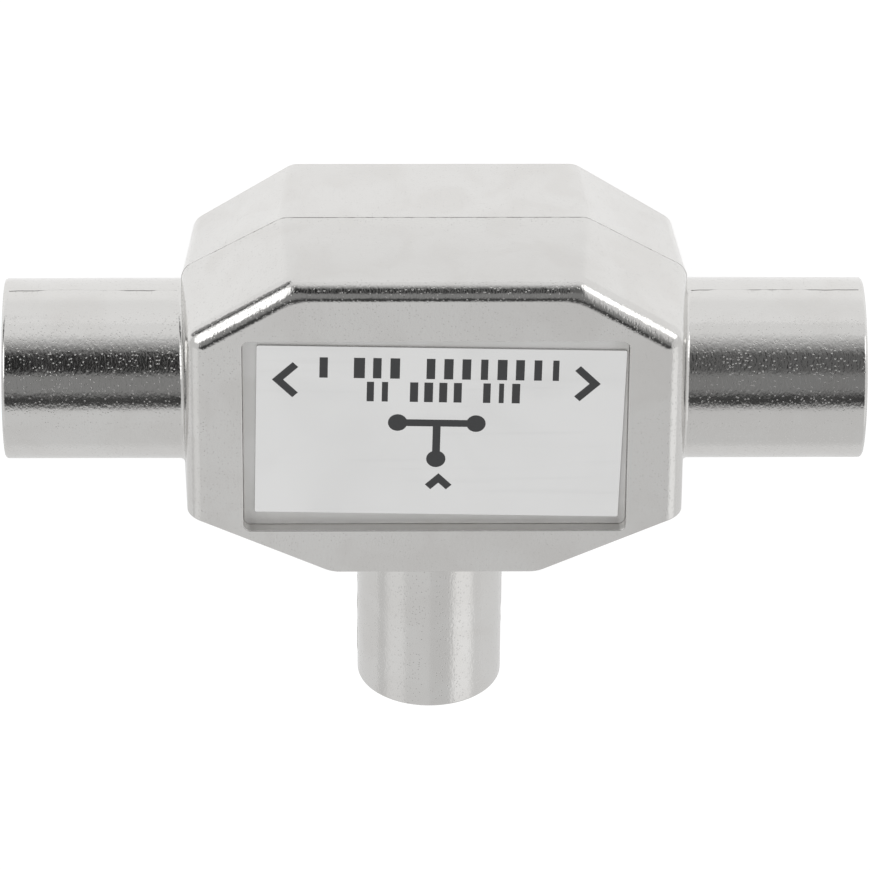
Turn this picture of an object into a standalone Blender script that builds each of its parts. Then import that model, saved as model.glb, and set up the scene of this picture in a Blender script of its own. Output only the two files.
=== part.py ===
"""Two-way coaxial splitter: a T-shaped die casting with a socket at each side and a plug below.

The splitter lies on its flat back. X runs from the left socket to the right one, Y away from
the plug, and Z up through the labelled face. The origin is on the back, under the point where
the axes of the three connectors cross.
"""

import math
from typing import NamedTuple

import bmesh
import bpy
from mathutils import Matrix, Vector

MM = 0.001

# Gap left between two pieces that touch on the real splitter
SEAT_GAP = 0.25 * MM
# Length by which a shape reaches past the face that it is cut through or joined to
OVERSHOOT = 1.0 * MM
WELD_DISTANCE = 0.001 * MM

BARREL_SEGMENTS = 48
CONTACT_SEGMENTS = 24
SMALL_SEGMENTS = 16
CORNER_STEPS = 3
SMOOTH_ANGLE = math.radians(32)

# Casing, widest at the parting plane of its mould, which holds the axes of the connectors
AXIS_HEIGHT = 8.15 * MM
CASE_THICKNESS = 16.65 * MM
CASE_HALF_WIDTH = 16.25 * MM
CASE_HEAD = 11.3 * MM
CASE_FOOT = 11.15 * MM
HEAD_CHAMFER_WIDTH = 6.5 * MM
HEAD_CHAMFER_DROP = 3.75 * MM
HEAD_CHAMFER_BACK_DROP = 4.25 * MM
FOOT_CHAMFER_WIDTH = 8.85 * MM
FOOT_CHAMFER_RISE = 4.0 * MM
FRONT_DRAFT = 0.45 * MM
BACK_DRAFT = 0.54 * MM
CASE_CORNER_RADIUS = 1.3 * MM
LEAST_CORNER_RADIUS = 0.05 * MM
FRONT_EDGE_RADIUS = 1.03 * MM
BACK_EDGE_RADIUS = 0.4 * MM

# Recess for the lid and the label, inside a rim of the front face
POCKET_SIDE_RIM = 3.95 * MM
POCKET_HEAD_RIM = 4.2 * MM
POCKET_FOOT_RIM = 4.05 * MM
POCKET_DEPTH = 0.8 * MM
POCKET_CORNER_RADIUS = 0.5 * MM
LID_THICKNESS = 1.0 * MM
LID_EDGE_BREAK = 0.15 * MM
LEDGE_WIDTH = 0.8 * MM

# Foil label on the lid, a little smaller than the recess and stuck on out of square
LABEL_SIDE_MARGIN = 0.55 * MM
LABEL_END_MARGIN = 0.85 * MM
LABEL_THICKNESS = 0.2 * MM
LABEL_SHIFT = Vector((0.29 * MM, -0.03 * MM))
LABEL_TILT = math.radians(-1.05)
LABEL_RIGHT_SKEW = 0.14 * MM

# Hollow for the circuit, open to the front, with a post in each corner for the board
CASE_FLOOR = 1.5 * MM
HOLLOW_CORNER_RADIUS = 0.8 * MM
POST_SIZE = 2.0 * MM
CONNECTOR_WEB = 2.0 * MM

# Socket: a sleeve round a hollow contact that a plug pushes onto
SOCKET_LENGTH = 11.5 * MM
SOCKET_BORE_RADIUS = 4.8 * MM
SOCKET_WALL = 1.05 * MM
SOCKET_RIM_BREAK = 0.25 * MM
SOCKET_INSULATOR_LENGTH = 4.2 * MM
CONTACT_WALL = 0.6 * MM
CONTACT_RECESS = 1.0 * MM
CONTACT_BORE_DEPTH = 6.5 * MM
CONTACT_SLOT_LENGTH = 5.5 * MM
CONTACT_SLOT_WIDTH = 0.5 * MM
CONTACT_TIP_BREAK = 0.25 * MM

# Plug: a plain sleeve round a solid pin, a little to the left of the casing's middle
PLUG_OFFSET = -0.2 * MM
PLUG_LENGTH = 12.25 * MM
PLUG_RADIUS = 4.75 * MM
PLUG_WALL = 0.65 * MM
PLUG_RIM_BREAK = 0.15 * MM
PLUG_INSULATOR_LENGTH = 4.0 * MM
PIN_RADIUS = 1.2 * MM
PIN_RECESS = 0.4 * MM
PIN_TIP_LENGTH = 0.9 * MM
PIN_COLLAR_LENGTH = 1.0 * MM
PIN_COLLAR_RADIUS = 1.7 * MM

# Shared by the three connectors
INSULATOR_EDGE_BREAK = 0.3 * MM
SPIGOT_WALL = 0.9 * MM
SPIGOT_REACH = 0.3 * MM
SHANK_RADIUS = 1.0 * MM
SHANK_REACH = 0.4 * MM
TAIL_RADIUS = 0.5 * MM
TAIL_LENGTH = 1.9 * MM

# Circuit board under the tails of the contacts
BOARD_THICKNESS = 1.0 * MM
SOLDER_BED = 0.45 * MM
SOLDER_RADIUS = 1.2 * MM
SOLDER_HEIGHT = 1.5 * MM
SOLDER_SETBACK = 0.6 * MM
GROUND_SOLDER_RADIUS = 1.0 * MM
GROUND_SOLDER_HEIGHT = 0.8 * MM
GROUND_SOLDER_INSET = 3.4 * MM

# Ferrite rings with enamelled wire
CORE_SPACING = 6.0 * MM
CORE_OFFSET = 0.2 * MM
CORE_EDGE_BREAK = 0.2 * MM
WIRE_RADIUS = 0.16 * MM
WIRE_STEPS = 12
WIRE_LEAD = 0.7 * MM
WINDING_SWEEP = math.radians(290)
MATCHING_CORE = {"inner": 1.15 * MM, "outer": 2.3 * MM, "height": 2.2 * MM, "turns": 6}
SPLITTING_CORE = {"inner": 1.2 * MM, "outer": 2.4 * MM, "height": 2.6 * MM, "turns": 7}

# Resistor across the two outputs, and disc capacitors
LEAD_RADIUS = 0.2 * MM
LEAD_BEND_RADIUS = 0.5 * MM
RESISTOR_LENGTH = 3.4 * MM
RESISTOR_RADIUS = 0.75 * MM
RESISTOR_WAIST_RADIUS = 0.6 * MM
RESISTOR_CAP_LENGTH = 0.8 * MM
RESISTOR_LEAD_SPAN = 6.0 * MM
RESISTOR_EDGE_GAP = 1.2 * MM
CAPACITOR_RADIUS = 1.4 * MM
CAPACITOR_THICKNESS = 1.0 * MM
CAPACITOR_LEAD_SPAN = 1.6 * MM
CAPACITOR_LIFT = 0.6 * MM
CAPACITOR_EDGE_GAP = 1.2 * MM
OUTPUT_CAPACITOR_INSET = 2.6 * MM
INPUT_CAPACITOR_OFFSET = 4.4 * MM

# Places that follow from the sizes above
FRONT_FACE = CASE_THICKNESS
POCKET_HALF_WIDTH = CASE_HALF_WIDTH - POCKET_SIDE_RIM
POCKET_HEAD = CASE_HEAD - POCKET_HEAD_RIM
POCKET_FOOT = CASE_FOOT - POCKET_FOOT_RIM
POCKET_FLOOR = FRONT_FACE - POCKET_DEPTH
POCKET_CENTRE = Vector((0.0, (POCKET_HEAD - POCKET_FOOT) / 2))
LABEL_HALF_WIDTH = POCKET_HALF_WIDTH - LABEL_SIDE_MARGIN
LABEL_HALF_HEIGHT = (POCKET_HEAD + POCKET_FOOT) / 2 - LABEL_END_MARGIN
LID_UNDERSIDE = POCKET_FLOOR - LID_THICKNESS
LEDGE_HEIGHT = LID_UNDERSIDE - SEAT_GAP
HOLLOW_HALF_WIDTH = POCKET_HALF_WIDTH - LEDGE_WIDTH
HOLLOW_HEAD = POCKET_HEAD - LEDGE_WIDTH
HOLLOW_FOOT = POCKET_FOOT - LEDGE_WIDTH
SPIGOT_RADIUS = SHANK_RADIUS + SEAT_GAP + SPIGOT_WALL
SOCKET_RADIUS = SOCKET_BORE_RADIUS + SOCKET_WALL
BARREL_ROOT = max(FRONT_DRAFT, BACK_DRAFT) + OVERSHOOT
CONTACT_RADIUS = PIN_RADIUS + CONTACT_WALL
BOARD_TOP = AXIS_HEIGHT - TAIL_RADIUS - SOLDER_BED - 2 * SEAT_GAP
BOARD_UNDERSIDE = BOARD_TOP - BOARD_THICKNESS
BOARD_EDGE_GAP = SPIGOT_REACH + SEAT_GAP
BOARD_HALF_WIDTH = HOLLOW_HALF_WIDTH - BOARD_EDGE_GAP
BOARD_HEAD = HOLLOW_HEAD - BOARD_EDGE_GAP
BOARD_FOOT = HOLLOW_FOOT - BOARD_EDGE_GAP
POST_TOP = BOARD_UNDERSIDE - SEAT_GAP
SOLDER_BASE = BOARD_TOP + SEAT_GAP


class Connector(NamedTuple):
    """One connector's sizes; distances are measured outwards from the crossing of the axes."""

    hollow: float
    floor: float
    root: float
    rim: float
    radius: float
    bore_radius: float
    rim_break: float
    insulator_length: float

    @property
    def shank_end(self):
        """Where the contact's shank ends, inside the hollow."""
        return self.hollow - SPIGOT_REACH - SHANK_REACH

    @property
    def insulator_seat(self):
        """Where the insulator's flange starts, just off the floor of the bore."""
        return self.floor + SEAT_GAP

    @property
    def insulator_face(self):
        """Where the insulator ends, seen from the mouth of the bore."""
        return self.insulator_seat + self.insulator_length

    @property
    def tail_middle(self):
        """Where the contact's tail meets its solder joint."""
        return self.shank_end - SOLDER_SETBACK - SOLDER_RADIUS / 2


SOCKET = Connector(
    hollow=HOLLOW_HALF_WIDTH,
    floor=HOLLOW_HALF_WIDTH + CONNECTOR_WEB,
    root=CASE_HALF_WIDTH - BARREL_ROOT,
    rim=CASE_HALF_WIDTH + SOCKET_LENGTH,
    radius=SOCKET_RADIUS,
    bore_radius=SOCKET_BORE_RADIUS,
    rim_break=SOCKET_RIM_BREAK,
    insulator_length=SOCKET_INSULATOR_LENGTH,
)
PLUG = Connector(
    hollow=HOLLOW_FOOT,
    floor=HOLLOW_FOOT + CONNECTOR_WEB,
    root=CASE_FOOT - BARREL_ROOT,
    rim=CASE_FOOT + PLUG_LENGTH,
    radius=PLUG_RADIUS,
    bore_radius=PLUG_RADIUS - PLUG_WALL,
    rim_break=PLUG_RIM_BREAK,
    insulator_length=PLUG_INSULATOR_LENGTH,
)


def clear_scene():
    """Removes what a new scene starts with."""
    for obj in list(bpy.data.objects):
        bpy.data.objects.remove(obj)


def finish(name, colour, roughness, metallic=0.0):
    """A plain material of this colour, roughness and metallic value."""
    material = bpy.data.materials.new(name)
    material.use_nodes = True
    shader = material.node_tree.nodes["Principled BSDF"]
    shader.inputs["Base Color"].default_value = (*colour, 1.0)
    shader.inputs["Roughness"].default_value = roughness
    shader.inputs["Metallic"].default_value = metallic
    material.diffuse_color = (*colour, 1.0)
    return material


def place_mesh(name, shape, material=None, parent=None):
    """Puts a bmesh into the scene as an object, with round faces shaded smooth."""
    bmesh.ops.recalc_face_normals(shape, faces=shape.faces)
    mesh = bpy.data.meshes.new(name)
    shape.to_mesh(mesh)
    shape.free()
    mesh.shade_smooth()
    mesh.set_sharp_from_angle(angle=SMOOTH_ANGLE)
    obj = bpy.data.objects.new(name, mesh)
    bpy.context.scene.collection.objects.link(obj)
    obj.parent = parent
    if material:
        mesh.materials.append(material)
    return obj


def place_frame(name, location, rotation):
    """An empty that carries the pieces built in its own frame."""
    frame = bpy.data.objects.new(name, None)
    frame.location = location
    frame.rotation_euler = rotation
    bpy.context.scene.collection.objects.link(frame)
    return frame


def as_cutter(obj):
    """Hides a shape that only serves to shape another one."""
    obj.hide_render = True
    obj.display_type = "WIRE"
    return obj


def combine(target, other, operation):
    """Joins or cuts the target with a helper shape."""
    modifier = target.modifiers.new(f"{operation.lower()} {other.name}", "BOOLEAN")
    modifier.operation = operation
    modifier.solver = "EXACT"
    modifier.object = as_cutter(other)


def loft(name, rings, material=None, parent=None):
    """A closed body through rings with the same number of points, capped at both ends."""
    shape = bmesh.new()
    loops = [[shape.verts.new(point) for point in ring] for ring in rings]
    for lower, upper in zip(loops, loops[1:]):
        for i in range(len(lower)):
            shape.faces.new((lower[i - 1], lower[i], upper[i], upper[i - 1]))
    shape.faces.new(loops[0])
    shape.faces.new(loops[-1])
    return place_mesh(name, shape, material, parent)


def prism(name, outline, low, high, material=None, edge_break=0.0):
    """An outline raised from one height to another, with its upper edge broken if asked."""
    rings = [level_ring(outline, low)]
    if edge_break:
        rings.append(level_ring(outline, high - edge_break))
        outline = offset_outline(outline, edge_break)
    rings.append(level_ring(outline, high))
    return loft(name, rings, material)


def level_ring(outline, height):
    """An outline's points at this height."""
    return [Vector((x, y, height)) for x, y in outline]


def turned(name, profile, closed, segments, material=None, parent=None):
    """A body turned round Z from (radius, height) points; an open profile ends on the axis."""
    shape = bmesh.new()
    points = [shape.verts.new((radius, 0.0, height)) for radius, height in profile]
    edges = [shape.edges.new(pair) for pair in zip(points, points[1:])]
    if closed:
        edges.append(shape.edges.new((points[-1], points[0])))
    bmesh.ops.spin(
        shape, geom=points + edges, cent=(0, 0, 0), axis=(0, 0, 1), angle=math.tau, steps=segments
    )
    bmesh.ops.remove_doubles(shape, verts=shape.verts, dist=WELD_DISTANCE)
    return place_mesh(name, shape, material, parent)


def tube(name, points, radius, material=None):
    """A wire along these points, as a mesh."""
    curve = bpy.data.curves.new(name, "CURVE")
    curve.dimensions = "3D"
    curve.bevel_depth = radius
    curve.bevel_resolution = 1
    curve.use_fill_caps = True
    spline = curve.splines.new("POLY")
    spline.points.add(len(points) - 1)
    for slot, point in zip(spline.points, points):
        slot.co = (*point, 1.0)
    guide = bpy.data.objects.new(name, curve)
    mesh = bpy.data.meshes.new_from_object(guide)
    bpy.data.objects.remove(guide)
    shape = bmesh.new()
    shape.from_mesh(mesh)
    bpy.data.meshes.remove(mesh)
    bmesh.ops.remove_doubles(shape, verts=shape.verts, dist=WELD_DISTANCE)
    return place_mesh(name, shape, material)


def rectangle(left, right, foot, head):
    """The corners of a rectangle, anticlockwise."""
    return [Vector((left, foot)), Vector((right, foot)), Vector((right, head)), Vector((left, head))]


def offset_outline(corners, distance):
    """A convex anticlockwise outline with every side moved in by this distance."""
    moved = []
    for before, corner, after in zip(corners[-1:] + corners[:-1], corners, corners[1:] + corners[:1]):
        first = (corner - before).orthogonal().normalized()
        second = (after - corner).orthogonal().normalized()
        moved.append(corner + (first + second) * distance / (1 + first.dot(second)))
    return moved


def round_corners(corners, radius):
    """An anticlockwise convex outline with an arc of this radius in each corner."""
    outline = []
    for before, corner, after in zip(corners[-1:] + corners[:-1], corners, corners[1:] + corners[:1]):
        first = (corner - before).orthogonal().normalized()
        second = (after - corner).orthogonal().normalized()
        centre = corner + (first + second) * radius / (1 + first.dot(second))
        turn = first.angle_signed(second)
        for step in range(CORNER_STEPS + 1):
            arm = first.copy()
            arm.rotate(Matrix.Rotation(-turn * step / CORNER_STEPS, 2))
            outline.append(centre - arm * radius)
    return outline


def case_corners(draft, chamfer_drop):
    """The eight corners of the casing where its walls have leant in by this draft."""
    side = CASE_HALF_WIDTH - draft
    head = CASE_HEAD - draft
    foot = CASE_FOOT - draft
    right = [
        Vector((side - FOOT_CHAMFER_WIDTH, -foot)),
        Vector((side, FOOT_CHAMFER_RISE - foot)),
        Vector((side, head - chamfer_drop)),
        Vector((side - HEAD_CHAMFER_WIDTH, head)),
    ]
    left = [Vector((-corner.x, corner.y)) for corner in reversed(right)]
    return right + left


def case_ring(corners, inset, height):
    """The casing's rounded outline at one height, moved in from these corners."""
    radius = max(CASE_CORNER_RADIUS - inset, LEAST_CORNER_RADIUS)
    return level_ring(round_corners(offset_outline(corners, inset), radius), height)


def case_rings():
    """The casing's outlines from the back to the front, with the edges of both faces rounded."""
    arc = [i * math.pi / 2 / CORNER_STEPS for i in range(CORNER_STEPS + 1)]
    back = case_corners(BACK_DRAFT, HEAD_CHAMFER_BACK_DROP)
    front = case_corners(FRONT_DRAFT, HEAD_CHAMFER_DROP)
    rings = []
    for turn in arc:
        inset = BACK_EDGE_RADIUS * (1 - math.sin(turn))
        rings.append(case_ring(back, inset, BACK_EDGE_RADIUS * (1 - math.cos(turn))))
    rings.append(case_ring(case_corners(0.0, HEAD_CHAMFER_DROP), 0.0, AXIS_HEIGHT))
    for turn in arc:
        inset = FRONT_EDGE_RADIUS * (1 - math.cos(turn))
        rings.append(case_ring(front, inset, FRONT_FACE - FRONT_EDGE_RADIUS * (1 - math.sin(turn))))
    return rings


def pocket_outline(gap=0.0):
    """The recess in the front face, or what fits it with this gap all round."""
    corners = rectangle(
        gap - POCKET_HALF_WIDTH, POCKET_HALF_WIDTH - gap, gap - POCKET_FOOT, POCKET_HEAD - gap
    )
    return round_corners(corners, POCKET_CORNER_RADIUS)


def hollow_outline(gap=0.0):
    """The hollow for the circuit, or what fits it with this gap all round."""
    corners = rectangle(
        gap - HOLLOW_HALF_WIDTH, HOLLOW_HALF_WIDTH - gap, gap - HOLLOW_FOOT, HOLLOW_HEAD - gap
    )
    return round_corners(corners, HOLLOW_CORNER_RADIUS)


def post_hollow_outline():
    """The hollow below the board, a cross that leaves a square post in each corner."""
    side, head, foot = HOLLOW_HALF_WIDTH, HOLLOW_HEAD, HOLLOW_FOOT
    right = [
        (side - POST_SIZE, -foot),
        (side - POST_SIZE, POST_SIZE - foot),
        (side, POST_SIZE - foot),
        (side, head - POST_SIZE),
        (side - POST_SIZE, head - POST_SIZE),
        (side - POST_SIZE, head),
    ]
    return right + [(-x, y) for x, y in reversed(right)]


def barrel(name, connector, port):
    """A connector's solid barrel with a broken edge at its rim, to be joined to the casing."""
    radius, rim = connector.radius, connector.rim
    profile = [
        (0, connector.root),
        (radius, connector.root),
        (radius, rim - connector.rim_break),
        (radius - connector.rim_break, rim),
        (0, rim),
    ]
    return turned(name, profile, False, BARREL_SEGMENTS, parent=port)


def bore(name, connector, port):
    """A connector's bore with a lead-in at the rim, and the hole from its floor into the hollow."""
    radius, rim = connector.bore_radius, connector.rim
    hole = SPIGOT_RADIUS + SEAT_GAP
    profile = [
        (0, connector.hollow - OVERSHOOT),
        (hole, connector.hollow - OVERSHOOT),
        (hole, connector.floor),
        (radius, connector.floor),
        (radius, rim - connector.rim_break),
        (radius + connector.rim_break + OVERSHOOT, rim + OVERSHOOT),
        (0, rim + OVERSHOOT),
    ]
    return turned(name, profile, False, BARREL_SEGMENTS, parent=port)


def build_housing(ports, material):
    """The one-piece casting: casing, three barrels, recess, hollow and bores."""
    housing = loft("housing", case_rings(), material)
    for name, (connector, port) in ports.items():
        combine(housing, barrel(f"{name}_barrel", connector, port), "UNION")

    pocket = prism("pocket_cut", pocket_outline(), LEDGE_HEIGHT, FRONT_FACE + OVERSHOOT)
    hollow = prism("hollow_cut", hollow_outline(), POST_TOP, LEDGE_HEIGHT + OVERSHOOT)
    under_board = prism("under_board_cut", post_hollow_outline(), CASE_FLOOR, POST_TOP + OVERSHOOT)
    for cut in (pocket, hollow, under_board):
        combine(housing, cut, "DIFFERENCE")

    for name, (connector, port) in ports.items():
        combine(housing, bore(f"{name}_bore", connector, port), "DIFFERENCE")


def build_lid(material):
    """The plate pressed into the recess, on the ledge round the hollow."""
    prism("cover_plate", pocket_outline(SEAT_GAP), LID_UNDERSIDE, POCKET_FLOOR, material, LID_EDGE_BREAK)


def build_label(material):
    """The foil label on the lid, tilted a little and cut out of square at its right edge."""
    corners = rectangle(-LABEL_HALF_WIDTH, LABEL_HALF_WIDTH, -LABEL_HALF_HEIGHT, LABEL_HALF_HEIGHT)
    corners[1].x -= LABEL_RIGHT_SKEW
    turn = Matrix.Rotation(LABEL_TILT, 2)
    outline = [turn @ corner + POCKET_CENTRE + LABEL_SHIFT for corner in corners]
    underside = POCKET_FLOOR + SEAT_GAP
    prism("label_plate", outline, underside, underside + LABEL_THICKNESS, material)


def build_insulator(name, connector, port, material):
    """A moulded plug for a bore, with a spigot through the wall and a hole for the contact."""
    hole = SHANK_RADIUS + SEAT_GAP
    outer = connector.bore_radius - SEAT_GAP
    face = connector.insulator_face
    profile = [
        (hole, connector.hollow - SPIGOT_REACH),
        (SPIGOT_RADIUS, connector.hollow - SPIGOT_REACH),
        (SPIGOT_RADIUS, connector.insulator_seat),
        (outer, connector.insulator_seat),
        (outer, face - INSULATOR_EDGE_BREAK),
        (outer - INSULATOR_EDGE_BREAK, face),
        (hole, face),
    ]
    turned(name, profile, True, BARREL_SEGMENTS, material, port)


def shank_profile(connector):
    """A contact's solder tail and the shank that runs through the insulator."""
    tail_end = connector.shank_end - TAIL_LENGTH
    return [
        (0, tail_end),
        (TAIL_RADIUS, tail_end),
        (TAIL_RADIUS, connector.shank_end),
        (SHANK_RADIUS, connector.shank_end),
        (SHANK_RADIUS, connector.insulator_face + SEAT_GAP),
    ]


def build_socket_contact(name, connector, port, material):
    """A turned contact with a bore for a pin, slotted twice so that its four fingers spring."""
    mouth = connector.rim - CONTACT_RECESS
    profile = shank_profile(connector) + [
        (CONTACT_RADIUS, connector.insulator_face + SEAT_GAP),
        (CONTACT_RADIUS, mouth - CONTACT_TIP_BREAK),
        (CONTACT_RADIUS - CONTACT_TIP_BREAK, mouth),
        (PIN_RADIUS, mouth),
        (PIN_RADIUS, mouth - CONTACT_BORE_DEPTH),
        (0, mouth - CONTACT_BORE_DEPTH),
    ]
    contact = turned(name, profile, False, CONTACT_SEGMENTS, material, port)
    half_slot = CONTACT_SLOT_WIDTH / 2
    reach = CONTACT_RADIUS + OVERSHOOT
    for number, (across, along) in enumerate(((reach, half_slot), (half_slot, reach))):
        outline = rectangle(-across, across, -along, along)
        slot = prism(f"{name}_slot_{number}", outline, mouth - CONTACT_SLOT_LENGTH, mouth + OVERSHOOT)
        slot.parent = port
        combine(contact, slot, "DIFFERENCE")


def build_plug_pin(connector, port, material):
    """The turned pin, with a collar against the insulator and a rounded tip."""
    tip = connector.rim - PIN_RECESS
    collar = connector.insulator_face + SEAT_GAP
    profile = shank_profile(connector) + [
        (PIN_COLLAR_RADIUS, collar),
        (PIN_COLLAR_RADIUS, collar + PIN_COLLAR_LENGTH),
        (PIN_RADIUS, collar + PIN_COLLAR_LENGTH),
    ]
    for step in range(CORNER_STEPS + 1):
        turn = step * math.pi / 2 / CORNER_STEPS
        height = tip - PIN_TIP_LENGTH * (1 - math.sin(turn))
        profile.append((PIN_RADIUS * math.cos(turn), height))
    turned("plug_pin", profile, False, CONTACT_SEGMENTS, material, port)


def solder_mound(name, place, radius, height, material):
    """A dome of solder on the board."""
    profile = [(0, 0)]
    for step in range(2 * CORNER_STEPS + 1):
        turn = step * math.pi / 4 / CORNER_STEPS
        profile.append((radius * math.cos(turn), height * math.sin(turn)))
    mound = turned(name, profile, False, SMALL_SEGMENTS, material)
    mound.location = (*place, SOLDER_BASE)
    return mound


def build_solder_joint(name, connector, port, material):
    """A dome of solder with the groove in which a contact's tail lies."""
    place = port.matrix_basis @ Vector((0, 0, connector.tail_middle))
    mound = solder_mound(name, place.xy, SOLDER_RADIUS, SOLDER_HEIGHT, material)
    radius = TAIL_RADIUS + SEAT_GAP
    low = connector.tail_middle - SOLDER_RADIUS - OVERSHOOT
    high = connector.tail_middle + SOLDER_RADIUS + OVERSHOOT
    profile = [(0, low), (radius, low), (radius, high), (0, high)]
    groove = turned(f"{name}_groove", profile, False, SMALL_SEGMENTS, parent=port)
    combine(mound, groove, "DIFFERENCE")


def build_board(material):
    """The circuit board on the four posts."""
    prism("circuit_board", hollow_outline(BOARD_EDGE_GAP), BOARD_UNDERSIDE, BOARD_TOP, material)


def rounded_unit(turn):
    """A point on a square of side two with well-rounded corners."""
    cosine, sine = math.cos(turn), math.sin(turn)
    return (
        math.copysign(math.sqrt(abs(cosine)), cosine),
        math.copysign(math.sqrt(abs(sine)), sine),
    )


def winding_points(core, centre, middle_height, start_angle):
    """The path of a wire wound through a ring, its two leads lying on the board."""
    clear = SEAT_GAP + WIRE_RADIUS
    middle_radius = (core["inner"] + core["outer"]) / 2
    half_radial = (core["outer"] - core["inner"]) / 2 + clear
    half_height = core["height"] / 2 + clear
    steps = core["turns"] * WIRE_STEPS - WIRE_STEPS // 4

    def at(radial, rise, share):
        around = start_angle + WINDING_SWEEP * share
        direction = Vector((math.cos(around), math.sin(around)))
        return (*(centre + direction * radial), middle_height + rise)

    lead_radius = middle_radius + half_radial + WIRE_LEAD
    points = [at(lead_radius, -half_height, 0.0)]
    for step in range(steps + 1):
        across, up = rounded_unit(math.tau * step / WIRE_STEPS)
        points.append(at(middle_radius + half_radial * across, half_height * up, step / steps))
    points.append(at(lead_radius, -half_height, 1.0))
    return points


def build_transformer(role, core, centre, start_angle, ferrite, enamel):
    """A ferrite ring lying on the turns of its own winding."""
    underside = BOARD_TOP + 2 * SEAT_GAP + 2 * WIRE_RADIUS
    top = underside + core["height"]
    inner, outer = core["inner"], core["outer"]
    profile = [
        (inner, underside + CORE_EDGE_BREAK),
        (inner + CORE_EDGE_BREAK, underside),
        (outer - CORE_EDGE_BREAK, underside),
        (outer, underside + CORE_EDGE_BREAK),
        (outer, top - CORE_EDGE_BREAK),
        (outer - CORE_EDGE_BREAK, top),
        (inner + CORE_EDGE_BREAK, top),
        (inner, top - CORE_EDGE_BREAK),
    ]
    ring = turned(f"{role}_core", profile, True, 2 * SMALL_SEGMENTS, ferrite)
    ring.location = (*centre, 0.0)
    points = winding_points(core, centre, (underside + top) / 2, start_angle)
    tube(f"{role}_winding", points, WIRE_RADIUS, enamel)


def leg(foot_x, body_x, body_height):
    """A component's lead from the board up into its body, bent once."""
    bend = math.copysign(LEAD_BEND_RADIUS, body_x - foot_x)
    return [
        (foot_x, 0, SEAT_GAP),
        (foot_x, 0, body_height - LEAD_BEND_RADIUS),
        (foot_x + bend * (1 - math.sqrt(0.5)), 0, body_height - LEAD_BEND_RADIUS * (1 - math.sqrt(0.5))),
        (foot_x + bend, 0, body_height),
        (body_x, 0, body_height),
    ]


def build_resistor(place, material):
    """A resistor with a cap at each end of its body and leads bent down to the board."""
    half = RESISTOR_LENGTH / 2
    waist = half - RESISTOR_CAP_LENGTH
    height = SEAT_GAP + RESISTOR_RADIUS + LEAD_BEND_RADIUS
    profile = [
        (0, -half),
        (RESISTOR_WAIST_RADIUS, -half),
        (RESISTOR_RADIUS, -half + RESISTOR_CAP_LENGTH / 3),
        (RESISTOR_RADIUS, -waist - RESISTOR_CAP_LENGTH / 3),
        (RESISTOR_WAIST_RADIUS, -waist),
    ]
    profile += [(radius, -rise) for radius, rise in reversed(profile)]
    body = turned("balance_resistor", profile, False, SMALL_SEGMENTS, material)
    body.data.transform(Matrix.Translation((0, 0, height)) @ Matrix.Rotation(math.pi / 2, 4, "Y"))
    body.location = (*place, BOARD_TOP)
    for side in (-1, 1):
        points = leg(side * RESISTOR_LEAD_SPAN / 2, side * waist, height)
        lead = tube(f"resistor_lead_{side}", points, LEAD_RADIUS)
        lead.location = body.location
        combine(body, lead, "UNION")


def build_capacitor(name, place, material):
    """A disc capacitor standing on two straight leads."""
    centre = SEAT_GAP + CAPACITOR_LIFT + CAPACITOR_RADIUS
    shape = bmesh.new()
    bmesh.ops.create_uvsphere(shape, u_segments=SMALL_SEGMENTS, v_segments=SMALL_SEGMENTS // 2, radius=1.0)
    size = Matrix.Diagonal((CAPACITOR_RADIUS, CAPACITOR_THICKNESS / 2, CAPACITOR_RADIUS, 1.0))
    bmesh.ops.transform(shape, matrix=Matrix.Translation((0, 0, centre)) @ size, verts=shape.verts)
    body = place_mesh(name, shape, material)
    body.location = (*place, BOARD_TOP)
    for side in (-1, 1):
        foot = side * CAPACITOR_LEAD_SPAN / 2
        lead = tube(f"{name}_lead_{side}", [(foot, 0, SEAT_GAP), (foot, 0, centre)], LEAD_RADIUS)
        lead.location = body.location
        combine(body, lead, "UNION")


def build_circuit():
    """The components on the board."""
    ferrite = finish("ferrite", (0.05, 0.05, 0.055), 0.6)
    enamel = finish("enamelled copper", (0.45, 0.13, 0.04), 0.3, 1.0)
    ceramic = finish("capacitor ceramic", (0.72, 0.42, 0.14), 0.45)
    lacquer = finish("resistor lacquer", (0.62, 0.5, 0.33), 0.5)

    half_spacing = CORE_SPACING / 2
    facing_left, facing_right = math.pi, 0.0
    spread = (math.tau - WINDING_SWEEP) / 2
    matching_centre = Vector((-half_spacing, CORE_OFFSET))
    splitting_centre = Vector((half_spacing, CORE_OFFSET))
    build_transformer(
        "matching", MATCHING_CORE, matching_centre, facing_left + spread, ferrite, enamel
    )
    build_transformer(
        "splitting", SPLITTING_CORE, splitting_centre, facing_right + spread, ferrite, enamel
    )

    head_row = BOARD_HEAD - CAPACITOR_EDGE_GAP
    foot_row = CAPACITOR_EDGE_GAP - BOARD_FOOT
    output_column = BOARD_HALF_WIDTH - OUTPUT_CAPACITOR_INSET
    build_resistor((0.0, BOARD_HEAD - RESISTOR_EDGE_GAP), lacquer)
    build_capacitor("left_output_capacitor", (-output_column, head_row), ceramic)
    build_capacitor("right_output_capacitor", (output_column, head_row), ceramic)
    build_capacitor("input_capacitor", (INPUT_CAPACITOR_OFFSET, foot_row), ceramic)


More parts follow.
